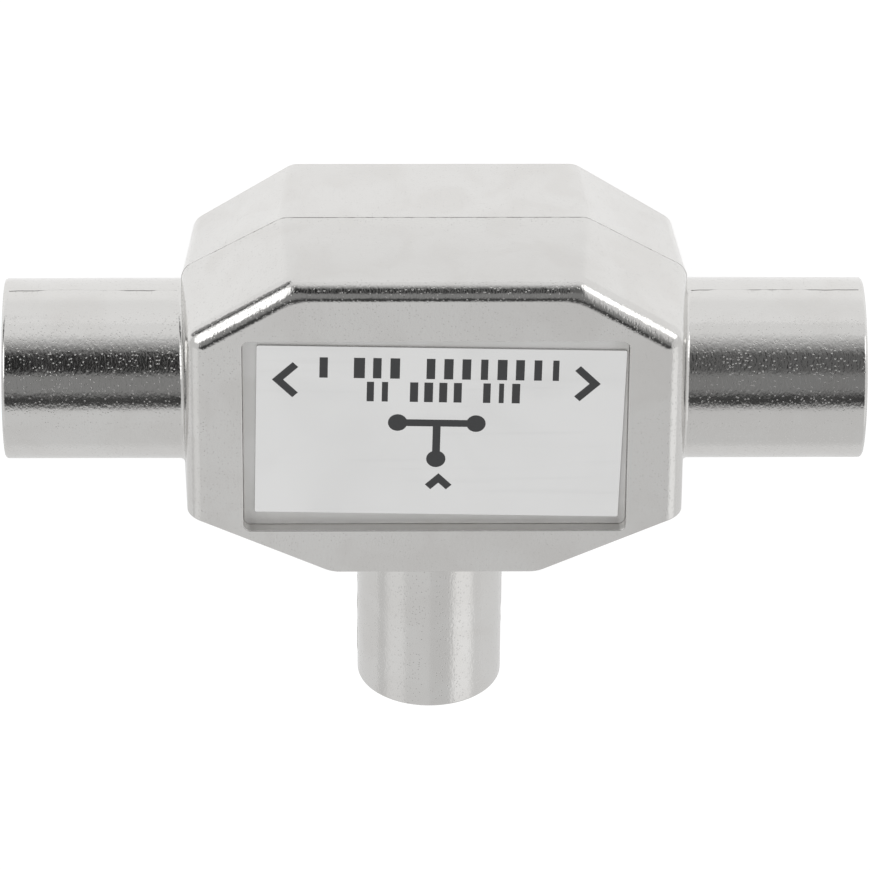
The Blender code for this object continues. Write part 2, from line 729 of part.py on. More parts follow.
def build_connectors(ports):
    """The insulators, contacts and solder joints of the three connectors."""
    polythene = finish("insulator plastic", (0.86, 0.86, 0.82), 0.45)
    brass = finish("plated brass", (0.8, 0.78, 0.74), 0.25, 1.0)
    solder = finish("solder", (0.62, 0.63, 0.64), 0.35, 1.0)

    for name, (connector, port) in ports.items():
        build_insulator(f"{name}_insulator", connector, port, polythene)
        build_solder_joint(f"{name}_solder_joint", connector, port, solder)
        if connector is SOCKET:
            build_socket_contact(f"{name}_contact", connector, port, brass)
        else:
            build_plug_pin(connector, port, brass)

    corner = (GROUND_SOLDER_INSET - BOARD_HALF_WIDTH, GROUND_SOLDER_RADIUS - BOARD_FOOT)
    solder_mound("ground_solder_joint", corner, GROUND_SOLDER_RADIUS, GROUND_SOLDER_HEIGHT, solder)


def build_splitter():
    """The whole splitter."""
    clear_scene()
    socket_axis = (0.0, 0.0, AXIS_HEIGHT)
    plug_axis = (PLUG_OFFSET, 0.0, AXIS_HEIGHT)
    ports = {
        "left_socket": (SOCKET, place_frame("left_port", socket_axis, (0.0, -math.pi / 2, 0.0))),
        "right_socket": (SOCKET, place_frame("right_port", socket_axis, (0.0, math.pi / 2, 0.0))),
        "plug": (PLUG, place_frame("plug_port", plug_axis, (math.pi / 2, 0.0, 0.0))),
    }
    build_housing(ports, finish("nickel-plated zinc", (0.73, 0.72, 0.71), 0.16, 1.0))
    build_lid(finish("lid metal", (0.72, 0.71, 0.7), 0.25, 1.0))
    build_label(finish("brushed foil", (0.78, 0.78, 0.78), 0.38, 1.0))
    build_connectors(ports)
    build_board(finish("board laminate", (0.55, 0.42, 0.2), 0.6))
    build_circuit()


build_splitter()
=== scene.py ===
"""Looks of a two-way coaxial splitter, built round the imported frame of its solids.

The splitter lies on its flat back. X runs from the left socket to the right one, Y away from the
plug, and Z up through the labelled face. Sizes are in metres unless a name says otherwise.
"""

import logging
import math
from dataclasses import dataclass, field
from enum import Enum
from typing import Callable, Iterable, Sequence

import bmesh
import bpy
from mathutils import Matrix, Vector


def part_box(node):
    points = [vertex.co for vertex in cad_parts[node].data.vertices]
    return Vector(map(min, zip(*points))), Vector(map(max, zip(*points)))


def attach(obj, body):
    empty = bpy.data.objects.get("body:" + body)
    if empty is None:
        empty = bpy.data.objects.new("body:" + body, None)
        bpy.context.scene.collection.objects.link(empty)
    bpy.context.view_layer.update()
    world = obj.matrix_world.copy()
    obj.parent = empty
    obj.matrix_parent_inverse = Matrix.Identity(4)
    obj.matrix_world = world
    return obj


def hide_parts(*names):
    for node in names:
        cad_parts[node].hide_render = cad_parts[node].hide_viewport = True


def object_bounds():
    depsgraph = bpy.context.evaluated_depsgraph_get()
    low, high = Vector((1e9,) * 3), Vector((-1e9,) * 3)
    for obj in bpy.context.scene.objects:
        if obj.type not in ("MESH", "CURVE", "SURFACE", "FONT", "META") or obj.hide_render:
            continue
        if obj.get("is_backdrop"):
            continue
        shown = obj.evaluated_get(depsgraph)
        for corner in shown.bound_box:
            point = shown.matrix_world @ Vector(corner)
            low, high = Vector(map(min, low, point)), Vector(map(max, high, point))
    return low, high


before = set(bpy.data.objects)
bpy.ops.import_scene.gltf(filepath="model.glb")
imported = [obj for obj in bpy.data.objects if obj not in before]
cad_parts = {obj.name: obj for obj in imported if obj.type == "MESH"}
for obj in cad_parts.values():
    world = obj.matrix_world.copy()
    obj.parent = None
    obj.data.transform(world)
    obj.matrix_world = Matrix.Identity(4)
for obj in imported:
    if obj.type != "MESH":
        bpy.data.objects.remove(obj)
CAD_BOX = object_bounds()

MM = 0.001
WELD_DISTANCE = 0.0005 * MM
OVERSHOOT = 1.0 * MM
SMOOTH_ANGLE = math.radians(28)
BODY = "root"
log = logging.getLogger("splitter")

Point = tuple[float, float]


class Port(Enum):
    """The three connectors: the turn that brings Z onto the connector's axis."""

    LEFT_SOCKET = (0.0, -math.pi / 2, 0.0)
    RIGHT_SOCKET = (0.0, math.pi / 2, 0.0)
    PLUG = (math.pi / 2, 0.0, 0.0)

    @property
    def label(self) -> str:
        """The connector's name, as the nodes of the frame spell it."""
        return self.name.lower()

    def matrix(self, sizes: "FrameSizes") -> Matrix:
        """From the connector's own frame to the splitter's.

        Args:
            sizes: the frame's sizes, with the places of the connectors' axes.

        Returns:
            A matrix that puts the origin where the axes cross and Z along the connector.
        """
        x, y, _ = self.value
        across = sizes.plug_offset if self is Port.PLUG else 0.0
        turn = Matrix.Rotation(y, 4, "Y") @ Matrix.Rotation(x, 4, "X")
        return Matrix.Translation((across, 0.0, sizes.axis)) @ turn


class Cut(Enum):
    """How a helper shape changes a piece."""

    JOIN = "UNION"
    REMOVE = "DIFFERENCE"


@dataclass
class Graph:
    """A node tree under construction, with short calls that add and wire its nodes."""

    tree: bpy.types.NodeTree

    def feed(self, socket: bpy.types.NodeSocket, value: object) -> None:
        """Links a socket to another one, or gives it a plain value.

        Args:
            socket: the input to fill.
            value: an output socket, or what the input is to hold.
        """
        if isinstance(value, bpy.types.NodeSocket):
            self.tree.links.new(value, socket)
        else:
            socket.default_value = value

    def node(self, kind: str, values: dict | None = None, **settings: object) -> bpy.types.Node:
        """Adds a node.

        Args:
            kind: the node's type.
            values: its inputs, by name or by number.
            settings: the node's own properties.

        Returns:
            The new node.
        """
        made = self.tree.nodes.new(kind)
        for name, value in settings.items():
            setattr(made, name, value)
        for name, value in (values or {}).items():
            self.feed(made.inputs[name], value)
        return made

    def math(self, operation: str, *values: object, clamp: bool = False) -> bpy.types.NodeSocket:
        """Adds a sum or another formula of one to three values.

        Args:
            operation: the formula's name.
            values: sockets or numbers.
            clamp: whether the result stays from 0 to 1.

        Returns:
            The result's socket.
        """
        made = self.node("ShaderNodeMath", dict(enumerate(values)), operation=operation, use_clamp=clamp)
        return made.outputs[0]

    def ramp(self, value: object, low: float, high: float, start: float = 0.0, end: float = 1.0) -> object:
        """Turns a span of values smoothly into another one.

        Args:
            value: the socket to read.
            low: where the change starts.
            high: where it ends.
            start: the result up to low.
            end: the result from high on.

        Returns:
            The result's socket.
        """
        values = {"Value": value, "From Min": low, "From Max": high, "To Min": start, "To Max": end}
        return self.node("ShaderNodeMapRange", values, interpolation_type="SMOOTHSTEP").outputs["Result"]

    def mix(self, share: object, first: object, second: object, kind: str = "RGBA") -> object:
        """Blends two colours or two numbers.

        Args:
            share: how much of the second one there is.
            first: the colour or number at 0.
            second: the colour or number at 1.
            kind: RGBA for colours, FLOAT for numbers.

        Returns:
            The result's socket.
        """
        made = self.tree.nodes.new("ShaderNodeMix")
        made.data_type = kind
        socket_kind = {"RGBA": "RGBA", "FLOAT": "VALUE"}[kind]
        sockets = {s.name: s for s in made.inputs if s.type == socket_kind and s.name in "AB"}
        self.feed(next(s for s in made.inputs if s.name == "Factor" and s.type == "VALUE"), share)
        self.feed(sockets["A"], first)
        self.feed(sockets["B"], second)
        return next(s for s in made.outputs if s.type == socket_kind)

    def group(self, group: bpy.types.NodeTree, **values: object) -> bpy.types.Node:
        """Places a shared node group.

        Args:
            group: the group.
            values: its inputs, with an underscore for each space in their names.

        Returns:
            The group's node.
        """
        made = self.node("ShaderNodeGroup", node_tree=group)
        for name, value in values.items():
            self.feed(made.inputs[name.replace("_", " ")], value)
        return made


def new_group(name: str, kind: str, inputs: dict, outputs: dict) -> tuple[Graph, dict, bpy.types.Node]:
    """Starts a node group with named sockets.

    Args:
        name: the group's name.
        kind: ShaderNodeTree or GeometryNodeTree.
        inputs: socket type by input name.
        outputs: socket type by output name.

    Returns:
        The graph, the group's input sockets by name, and its output node.
    """
    tree = bpy.data.node_groups.new(name, kind)
    for socket, socket_type in inputs.items():
        tree.interface.new_socket(socket, in_out="INPUT", socket_type=f"NodeSocket{socket_type}")
    for socket, socket_type in outputs.items():
        tree.interface.new_socket(socket, in_out="OUTPUT", socket_type=f"NodeSocket{socket_type}")
    graph = Graph(tree)
    entry = graph.node("NodeGroupInput")
    return graph, {s.name: s for s in entry.outputs if s.name}, graph.node("NodeGroupOutput")


class SurfaceGroups:
    """The effects that several finishes share, each built once when it is first used."""

    _built: dict[str, bpy.types.NodeTree] = {}
    pit_edge: float = 0.5
    smudge_edges: Point = (0.38, 0.68)

    @classmethod
    def _once(cls, name: str, build: Callable[[str], bpy.types.NodeTree]) -> bpy.types.NodeTree:
        """The group of a name.

        Args:
            name: the group's name.
            build: the function that builds it the first time.

        Returns:
            The group.
        """
        if name not in cls._built:
            cls._built[name] = build(name)
        return cls._built[name]

    @classmethod
    def relief(cls) -> bpy.types.NodeTree:
        """Height of a skin with soft cells of one size and fine grain of another."""
        return cls._once("skin relief", cls._build_relief)

    @classmethod
    def pits(cls) -> bpy.types.NodeTree:
        """Mask of scattered small pits or specks."""
        return cls._once("scattered pits", cls._build_pits)

    @classmethod
    def smudges(cls) -> bpy.types.NodeTree:
        """Mask of broad soft patches, as handling leaves them."""
        return cls._once("handling smudges", cls._build_smudges)

    @classmethod
    def _build_relief(cls, name: str) -> bpy.types.NodeTree:
        """Builds the skin relief group.

        Args:
            name: its name.

        Returns:
            The group.
        """
        inputs = {"Vector": "Vector", "Cell Scale": "Float", "Grain Scale": "Float", "Grain Share": "Float"}
        graph, given, result = new_group(name, "ShaderNodeTree", inputs, {"Height": "Float"})
        cells = {"Vector": given["Vector"], "Scale": given["Cell Scale"], "Detail": 2.0, "Roughness": 0.55}
        grain = {"Vector": given["Vector"], "Scale": given["Grain Scale"], "Detail": 1.0}
        broad = graph.node("ShaderNodeTexNoise", cells).outputs["Fac"]
        fine = graph.node("ShaderNodeTexNoise", grain).outputs["Fac"]
        graph.feed(result.inputs["Height"], graph.mix(given["Grain Share"], broad, fine, "FLOAT"))
        return graph.tree

    @classmethod
    def _build_pits(cls, name: str) -> bpy.types.NodeTree:
        """Builds the scattered pits group.

        Args:
            name: its name.

        Returns:
            The group.
        """
        inputs = {"Vector": "Vector", "Scale": "Float", "Radius": "Float", "Presence": "Float"}
        graph, given, result = new_group(name, "ShaderNodeTree", inputs, {"Mask": "Float"})
        cells = graph.node("ShaderNodeTexVoronoi", {"Vector": given["Vector"], "Scale": given["Scale"]})
        chance = graph.node("ShaderNodeSeparateColor", {"Color": cells.outputs["Color"]})
        near = graph.math("DIVIDE", cells.outputs["Distance"], given["Radius"])
        spot = graph.ramp(near, cls.pit_edge, 1.0, 1.0, 0.0)
        chosen = graph.math("LESS_THAN", chance.outputs["Red"], given["Presence"])
        graph.feed(result.inputs["Mask"], graph.math("MULTIPLY", spot, chosen))
        return graph.tree

    @classmethod
    def _build_smudges(cls, name: str) -> bpy.types.NodeTree:
        """Builds the handling smudges group.

        Args:
            name: its name.

        Returns:
            The group.
        """
        inputs = {"Vector": "Vector", "Scale": "Float"}
        graph, given, result = new_group(name, "ShaderNodeTree", inputs, {"Mask": "Float"})
        values = {"Vector": given["Vector"], "Scale": given["Scale"], "Detail": 3.0, "Distortion": 0.6}
        cloud = graph.node("ShaderNodeTexNoise", values).outputs["Fac"]
        graph.feed(result.inputs["Mask"], graph.ramp(cloud, *cls.smudge_edges))
        return graph.tree


Colour = tuple[float, float, float]
POLISHED_FROM = (0.995, 0.9995)


def opaque(colour: Colour) -> tuple[float, float, float, float]:
    """A colour with the fourth value that Blender's colour sockets take."""
    return (*colour, 1.0)


@dataclass(frozen=True)
class Finish:
    """What every finish has: a name, a colour, a gloss and the relief of its skin."""

    name: str
    colour: Colour
    shade: Colour
    roughness: float
    roughness_spread: float = 0.04
    cell_scale: float = 2400.0
    grain_scale: float = 11000.0
    grain_share: float = 0.35
    relief_height: float = 0.004 * MM
    smudge_scale: float = 260.0

    def start(self) -> tuple[bpy.types.Material, Graph, bpy.types.Node, object]:
        """Starts the material.

        Returns:
            The material, its graph, its surface shader and the place on the piece.
        """
        material = bpy.data.materials.new(self.name)
        material.use_nodes = True
        material.diffuse_color = opaque(self.colour)
        graph = Graph(material.node_tree)
        shader = material.node_tree.nodes["Principled BSDF"]
        place = graph.node("ShaderNodeTexCoord").outputs["Object"]
        return material, graph, shader, place

    def skin(self, graph: Graph, place: object) -> object:
        """The height of the fine relief.

        Args:
            graph: the material's graph.
            place: the place on the piece.

        Returns:
            The height's socket, about 0 to 1.
        """
        relief = graph.group(
            SurfaceGroups.relief(),
            Vector=place,
            Cell_Scale=self.cell_scale,
            Grain_Scale=self.grain_scale,
            Grain_Share=self.grain_share,
        )
        return relief.outputs["Height"]

    def smudge(self, graph: Graph, place: object) -> object:
        """The mask of soft patches."""
        return graph.group(SurfaceGroups.smudges(), Vector=place, Scale=self.smudge_scale).outputs["Mask"]

    def colour_and_gloss(self, graph: Graph, shader: bpy.types.Node, mask: object) -> None:
        """Lets a mask shade the colour and dull the gloss.

        Args:
            graph: the material's graph.
            shader: its surface shader.
            mask: where the shade shows.
        """
        colour = graph.mix(mask, opaque(self.colour), opaque(self.shade))
        graph.feed(shader.inputs["Base Color"], colour)
        gloss = graph.math("MULTIPLY_ADD", mask, self.roughness_spread, self.roughness)
        graph.feed(shader.inputs["Roughness"], gloss)

    def bump(self, graph: Graph, shader: bpy.types.Node, height: object) -> None:
        """Gives the shader a relief.

        Args:
            graph: the material's graph.
            shader: its surface shader.
            height: the relief's height, about 0 to 1.
        """
        values = {"Height": height, "Distance": self.relief_height, "Strength": 1.0}
        relief = graph.node("ShaderNodeBump", values)
        graph.feed(shader.inputs["Normal"], relief.outputs["Normal"])


@dataclass(frozen=True)
class Pitting:
    """One kind of small pit: how fine, how wide and how common it is.

    Its depth is a share of the height of the skin's relief.
    """

    scale: float
    radius: float
    presence: float
    depth: float


@dataclass(frozen=True)
class MetalFinish(Finish):
    """Bare or plated metal with a fine skin, broad patches and pits."""

    stretch: float = 1.0
    polished_relief: float = 1.0
    pitting: tuple[Pitting, ...] = (Pitting(700.0, 0.06, 0.12, 1.6),)

    def material(self) -> bpy.types.Material:
        """Builds the material.

        Returns:
            The material.
        """
        material, graph, shader, place = self.start()
        shader.inputs["Metallic"].default_value = 1.0
        drawn = {"Vector": place, "Scale": (1.0, self.stretch, self.stretch)}
        height = self.skin(graph, graph.node("ShaderNodeMapping", drawn).outputs["Vector"])
        normal = graph.node("ShaderNodeNewGeometry").outputs["True Normal"]
        upright = graph.node("ShaderNodeSeparateXYZ", {"Vector": normal}).outputs["Z"]
        share = graph.ramp(upright, *POLISHED_FROM, 1.0, self.polished_relief)
        shaded = self.smudge(graph, place)
        for kind in self.pitting:
            pits = graph.group(
                SurfaceGroups.pits(),
                Vector=place,
                Scale=kind.scale,
                Radius=kind.radius,
                Presence=kind.presence,
            ).outputs["Mask"]
            shaded = graph.math("MAXIMUM", shaded, pits, clamp=True)
            height = graph.math("MULTIPLY_ADD", pits, -kind.depth, height)
        self.colour_and_gloss(graph, shader, shaded)
        self.bump(graph, shader, graph.math("MULTIPLY", height, share))
        return material


@dataclass(frozen=True)
class MatFinish(Finish):
    """Plastic, ceramic, laminate or lacquer, with a mottled colour and a moulded skin."""

    mottle_scale: float = 1400.0
    mottle_edges: Point = (0.3, 0.7)
    smudge_share: float = 0.4

    def material(self) -> bpy.types.Material:
        """Builds the material.

        Returns:
            The material.
        """
        material, graph, shader, place = self.start()
        values = {"Vector": place, "Scale": self.mottle_scale, "Detail": 4.0, "Roughness": 0.6}
        mottle = graph.node("ShaderNodeTexNoise", values).outputs["Fac"]
        spots = graph.ramp(mottle, *self.mottle_edges)
        mask = graph.mix(self.smudge_share, spots, self.smudge(graph, place), "FLOAT")
        self.colour_and_gloss(graph, shader, mask)
        self.bump(graph, shader, self.skin(graph, place))
        return material


@dataclass(frozen=True)
class BrushedFoil(Finish):
    """Satin foil, brushed along X, with a few longer streaks."""

    brush_scale: float = 9000.0
    brush_stretch: float = 0.012
    streak_scale: float = 1500.0
    streak_stretch: float = 0.05
    streak_share: float = 0.3
    streak_edges: Point = (0.52, 0.72)

    def brushing(self, graph: Graph, place: object, scale: float, stretch: float) -> object:
        """Noise drawn out along X.

        Args:
            graph: the material's graph.
            place: the place on the piece.
            scale: how fine the noise is across the strokes.
            stretch: its fineness along them, as a share of that.

        Returns:
            The noise's socket.
        """
        moved = graph.node("ShaderNodeMapping", {"Vector": place, "Scale": (stretch, 1.0, 1.0)})
        values = {"Vector": moved.outputs["Vector"], "Scale": scale, "Detail": 2.0}
        return graph.node("ShaderNodeTexNoise", values).outputs["Fac"]

    def material(self) -> bpy.types.Material:
        """Builds the material.

        Returns:
            The material.
        """
        material, graph, shader, place = self.start()
        shader.inputs["Metallic"].default_value = 1.0
        strokes = self.brushing(graph, place, self.brush_scale, self.brush_stretch)
        streaks = self.brushing(graph, place, self.streak_scale, self.streak_stretch)
        shown = graph.ramp(streaks, *self.streak_edges)
        mask = graph.mix(self.streak_share, self.smudge(graph, place), shown, "FLOAT")
        self.colour_and_gloss(graph, shader, mask)
        height = graph.mix(self.grain_share, strokes, self.skin(graph, place), "FLOAT")
        self.bump(graph, shader, height)
        return material


@dataclass(frozen=True)
class PrintInk(Finish):
    """Screen-printed ink, a little thin in places."""

    def material(self) -> bpy.types.Material:
        """Builds the material.

        Returns:
            The material.
        """
        material, graph, shader, place = self.start()
        self.colour_and_gloss(graph, shader, self.skin(graph, place))
        self.bump(graph, shader, self.skin(graph, place))
        return material


NICKEL = MetalFinish(
    "nickel plating", (0.675, 0.668, 0.655), (0.655, 0.645, 0.63), 0.11, roughness_spread=0.05,
    cell_scale=4200.0, grain_scale=8000.0, grain_share=0.45, relief_height=0.018 * MM, stretch=0.6,
    polished_relief=0.35, pitting=(Pitting(700.0, 0.06, 0.12, 0.9), Pitting(5200.0, 0.3, 0.6, 0.42)),
)
SATIN_NICKEL = MetalFinish(
    "satin nickel plating", (0.675, 0.668, 0.655), (0.655, 0.645, 0.63), 0.48, relief_height=0.006 * MM
)
LID_METAL = MetalFinish(
    "lid metal", (0.90, 0.895, 0.885), (0.87, 0.865, 0.85), 0.6,
    cell_scale=2000.0, relief_height=0.004 * MM,
)
CONTACT_METAL = MetalFinish(
    "plated contact metal", (0.80, 0.77, 0.70), (0.74, 0.69, 0.60), 0.2,
    cell_scale=1500.0, relief_height=0.002 * MM, pitting=(Pitting(700.0, 0.06, 0.03, 1.6),),
)
SOLDER = MetalFinish(
    "solder", (0.62, 0.625, 0.63), (0.5, 0.5, 0.505), 0.32, cell_scale=1100.0, relief_height=0.02 * MM
)
ENAMELLED_WIRE = MetalFinish(
    "enamelled copper wire", (0.55, 0.17, 0.055), (0.42, 0.12, 0.04), 0.26, relief_height=0.003 * MM
)
FOIL = BrushedFoil(
    "brushed label foil", (0.95, 0.95, 0.945), (0.91, 0.91, 0.905), 0.22, roughness_spread=0.04,
    relief_height=0.001 * MM, smudge_scale=120.0,
)
# The foil's cut edge is a flat mid grey, darker than its face, which draws a thin dark line round the label.
LABEL_EDGE_GREY = MatFinish("label edge", (0.5, 0.5, 0.49), (0.4, 0.4, 0.395), 0.55)
INK = PrintInk("print ink", (0.045, 0.046, 0.048), (0.06, 0.061, 0.063), 0.5, relief_height=0.001 * MM)
POLYTHENE = MatFinish(
    "insulator plastic", (0.86, 0.85, 0.80), (0.82, 0.81, 0.76), 0.38, cell_scale=900.0
)
LAMINATE = MatFinish(
    "board laminate", (0.52, 0.38, 0.17), (0.42, 0.30, 0.13), 0.5, mottle_scale=2600.0
)
FERRITE = MatFinish(
    "ferrite", (0.045, 0.045, 0.05), (0.08, 0.08, 0.085), 0.62, relief_height=0.012 * MM
)
CERAMIC = MatFinish("capacitor ceramic", (0.66, 0.33, 0.09), (0.56, 0.26, 0.07), 0.4)
LACQUER = MatFinish("resistor lacquer", (0.60, 0.47, 0.29), (0.5, 0.38, 0.22), 0.35)


class Shelf:
    """Holds each finish's material, built once."""

    _ready: dict[str, bpy.types.Material] = {}

    @classmethod
    def take(cls, finish: Finish) -> bpy.types.Material:
        """The material of a finish.

        Args:
            finish: the finish.

        Returns:
            Its material, which is built the first time.
        """
        if finish.name not in cls._ready:
            cls._ready[finish.name] = finish.material()
        return cls._ready[finish.name]


def mesh_object(name: str, shape: bmesh.types.BMesh) -> bpy.types.Object:
    """Puts a shape into the scene with its faces turned outwards.

    Args:
        name: the object's name.
        shape: the shape, which is used up.

    Returns:
        The new object.
    """
    bmesh.ops.remove_doubles(shape, verts=shape.verts, dist=WELD_DISTANCE)
    bmesh.ops.recalc_face_normals(shape, faces=shape.faces)
    mesh = bpy.data.meshes.new(name)
    shape.to_mesh(mesh)
    shape.free()
    made = bpy.data.objects.new(name, mesh)
    bpy.context.scene.collection.objects.link(made)
    return made


def loft(name: str, rings: Sequence[Sequence[Vector]]) -> bpy.types.Object:
    """A closed body through a stack of rings.

    Args:
        name: the object's name.
        rings: the rings, each with the same number of points.

    Returns:
        The body.
    """
    shape = bmesh.new()
    loops = [[shape.verts.new(point) for point in ring] for ring in rings]
    for lower, upper in zip(loops, loops[1:]):
        for i in range(len(lower)):
            shape.faces.new((lower[i - 1], lower[i], upper[i], upper[i - 1]))
    shape.faces.new(loops[0])
    shape.faces.new(loops[-1])
    return mesh_object(name, shape)


def turned(name: str, profile: Sequence[Point], segments: int, place: Matrix) -> bpy.types.Object:
    """A body turned round Z.

    Args:
        name: the object's name.
        profile: (radius, height) points; where it doesn't end on the axis, it is closed to a ring.
        segments: how many steps the turn has.
        place: where the body goes.

    Returns:
        The body, with its place in its mesh.
    """
    shape = bmesh.new()
    points = [shape.verts.new((radius, 0.0, height)) for radius, height in profile]
    edges = [shape.edges.new(pair) for pair in zip(points, points[1:])]
    if profile[0][0] > 0.0:
        edges.append(shape.edges.new((points[-1], points[0])))
    bmesh.ops.spin(
        shape, geom=points + edges, cent=(0, 0, 0), axis=(0, 0, 1), angle=math.tau, steps=segments
    )
    shape.transform(place)
    return mesh_object(name, shape)


def arc(centre: Point, size: Point, start: float, end: float, steps: int) -> list[Point]:
    """Points on an upright ellipse.

    Args:
        centre: the ellipse's middle.
        size: its half width and half height.
        start: the first point's angle in degrees.
        end: the last point's angle in degrees.
        steps: the number of steps between them.

    Returns:
        The points.
    """
    turns = [math.radians(start + (end - start) * i / steps) for i in range(steps + 1)]
    return [(centre[0] + size[0] * math.cos(t), centre[1] + size[1] * math.sin(t)) for t in turns]


def rectangle(left: float, right: float, foot: float, head: float) -> list[Vector]:
    """The corners of a rectangle, anticlockwise."""
    return [Vector((left, foot)), Vector((right, foot)), Vector((right, head)), Vector((left, head))]


def inset(corners: Sequence[Vector], distances: float | Sequence[float]) -> list[Vector]:
    """A convex anticlockwise outline with its sides moved in.

    Args:
        corners: the outline.
        distances: how far every side moves, or each one, from the side after the first corner on.

    Returns:
        The moved corners.
    """
    if isinstance(distances, float):
        distances = [distances] * len(corners)
    moved = []
    for i, corner in enumerate(corners):
        before, after = corners[i - 1], corners[(i + 1) % len(corners)]
        first = (corner - before).orthogonal().normalized()
        second = (after - corner).orthogonal().normalized()
        near, far, cosine = distances[i - 1], distances[i], first.dot(second)
        arm = first * (near - far * cosine) + second * (far - near * cosine)
        moved.append(corner + arm / (1 - cosine**2))
    return moved


def rounded(corners: Sequence[Vector], radii: float | Sequence[float], steps: int) -> list[Vector]:
    """A convex anticlockwise outline with an arc in each corner.

    Args:
        corners: the outline.
        radii: the arcs' radius, or one for each corner.
        steps: how many steps each arc has.

    Returns:
        The rounded outline's points.
    """
    if isinstance(radii, float):
        radii = [radii] * len(corners)
    outline = []
    for i, (corner, radius) in enumerate(zip(corners, radii)):
        before, after = corners[i - 1], corners[(i + 1) % len(corners)]
        first = (corner - before).orthogonal().normalized()
        second = (after - corner).orthogonal().normalized()
        centre = corner + (first + second) * radius / (1 + first.dot(second))
        turn = first.angle_signed(second)
        for step in range(steps + 1):
            arm = first.copy()
            arm.rotate(Matrix.Rotation(-turn * step / steps, 2))
            outline.append(centre - arm * radius)
    return outline


def level(outline: Iterable[Vector], height: float) -> list[Vector]:
    """An outline's points at this height."""
    return [Vector((x, y, height)) for x, y in outline]


def bake(piece: bpy.types.Object) -> None:
    """Turns a piece with modifiers into a plain mesh.

    Args:
        piece: the piece.
    """
    depsgraph = bpy.context.evaluated_depsgraph_get()
    mesh = bpy.data.meshes.new_from_object(piece.evaluated_get(depsgraph), depsgraph=depsgraph)
    piece.modifiers.clear()
    piece.data = mesh


def carve(piece: bpy.types.Object, tools: Iterable[tuple[bpy.types.Object, Cut]]) -> None:
    """Joins or cuts a piece with helper shapes, which are then removed.

    Args:
        piece: the piece.
        tools: each helper shape and what it does, in order.
    """
    tools = list(tools)
    for tool, cut in tools:
        modifier = piece.modifiers.new(tool.name, "BOOLEAN")
        modifier.operation = cut.value
        modifier.solver = "EXACT"
        modifier.object = tool
    bake(piece)
    for tool, _ in tools:
        bpy.data.objects.remove(tool)


def shade(piece: bpy.types.Object, crease_height: float | None = None) -> None:
    """Shades a piece smooth except at its edges, with its flat faces kept flat.

    Args:
        piece: the piece.
        crease_height: height of a shallow edge that stays sharp all round, if there is one.
    """
    mesh = piece.data
    mesh.shade_smooth()
    mesh.set_sharp_from_angle(angle=SMOOTH_ANGLE)
    if crease_height is not None:
        for edge in mesh.edges:
            ends = [mesh.vertices[i].co.z for i in edge.vertices]
            if max(abs(end - crease_height) for end in ends) < WELD_DISTANCE:
                edge.use_edge_sharp = True
    modifier = piece.modifiers.new("flat faces", "WEIGHTED_NORMAL")
    modifier.keep_sharp = True
    modifier.weight = 100
    bake(piece)


def install(
    piece: bpy.types.Object, finish: Finish, stands_for: Sequence[str] = ()
) -> bpy.types.Object:
    """Dresses a finished piece and ties it to the frame.

    Args:
        piece: the piece, in its place.
        finish: its finish.
        stands_for: nodes of the frame that it replaces.

    Returns:
        The piece.
    """
    if not piece.data.materials:
        piece.data.materials.append(Shelf.take(finish))
    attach(piece, BODY)
    if stands_for:
        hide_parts(*stands_for)
    log.info("%s: %d faces, finish %s", piece.name, len(piece.data.polygons), finish.name)
    return piece


def grow(piece: bpy.types.Object, tree: bpy.types.NodeTree, values: dict[str, object]) -> None:
    """Runs a geometry tree on a piece and keeps the result as a plain mesh.

    Args:
        piece: the piece whose curve or mesh the tree starts from.
        tree: the tree.
        values: the tree's inputs by name.
    """
    modifier = piece.modifiers.new(tree.name, "NODES")
    modifier.node_group = tree
    identifiers = {
        item.name: item.identifier
        for item in tree.interface.items_tree
        if item.item_type == "SOCKET" and item.in_out == "INPUT"
    }
    for name, value in values.items():
        modifier[identifiers[name]] = value
    bpy.context.view_layer.update()


def as_mesh(piece: bpy.types.Object, name: str) -> bpy.types.Object:
    """Replaces a piece by a plain mesh object made from what its modifiers give.

    Args:
        piece: the piece, which is removed.
        name: the new object's name.

    Returns:
        The new object.
    """
    depsgraph = bpy.context.evaluated_depsgraph_get()
    mesh = bpy.data.meshes.new_from_object(piece.evaluated_get(depsgraph), depsgraph=depsgraph)
    bpy.data.objects.remove(piece)
    mesh.name = name
    made = bpy.data.objects.new(name, mesh)
    bpy.context.scene.collection.objects.link(made)
    return made


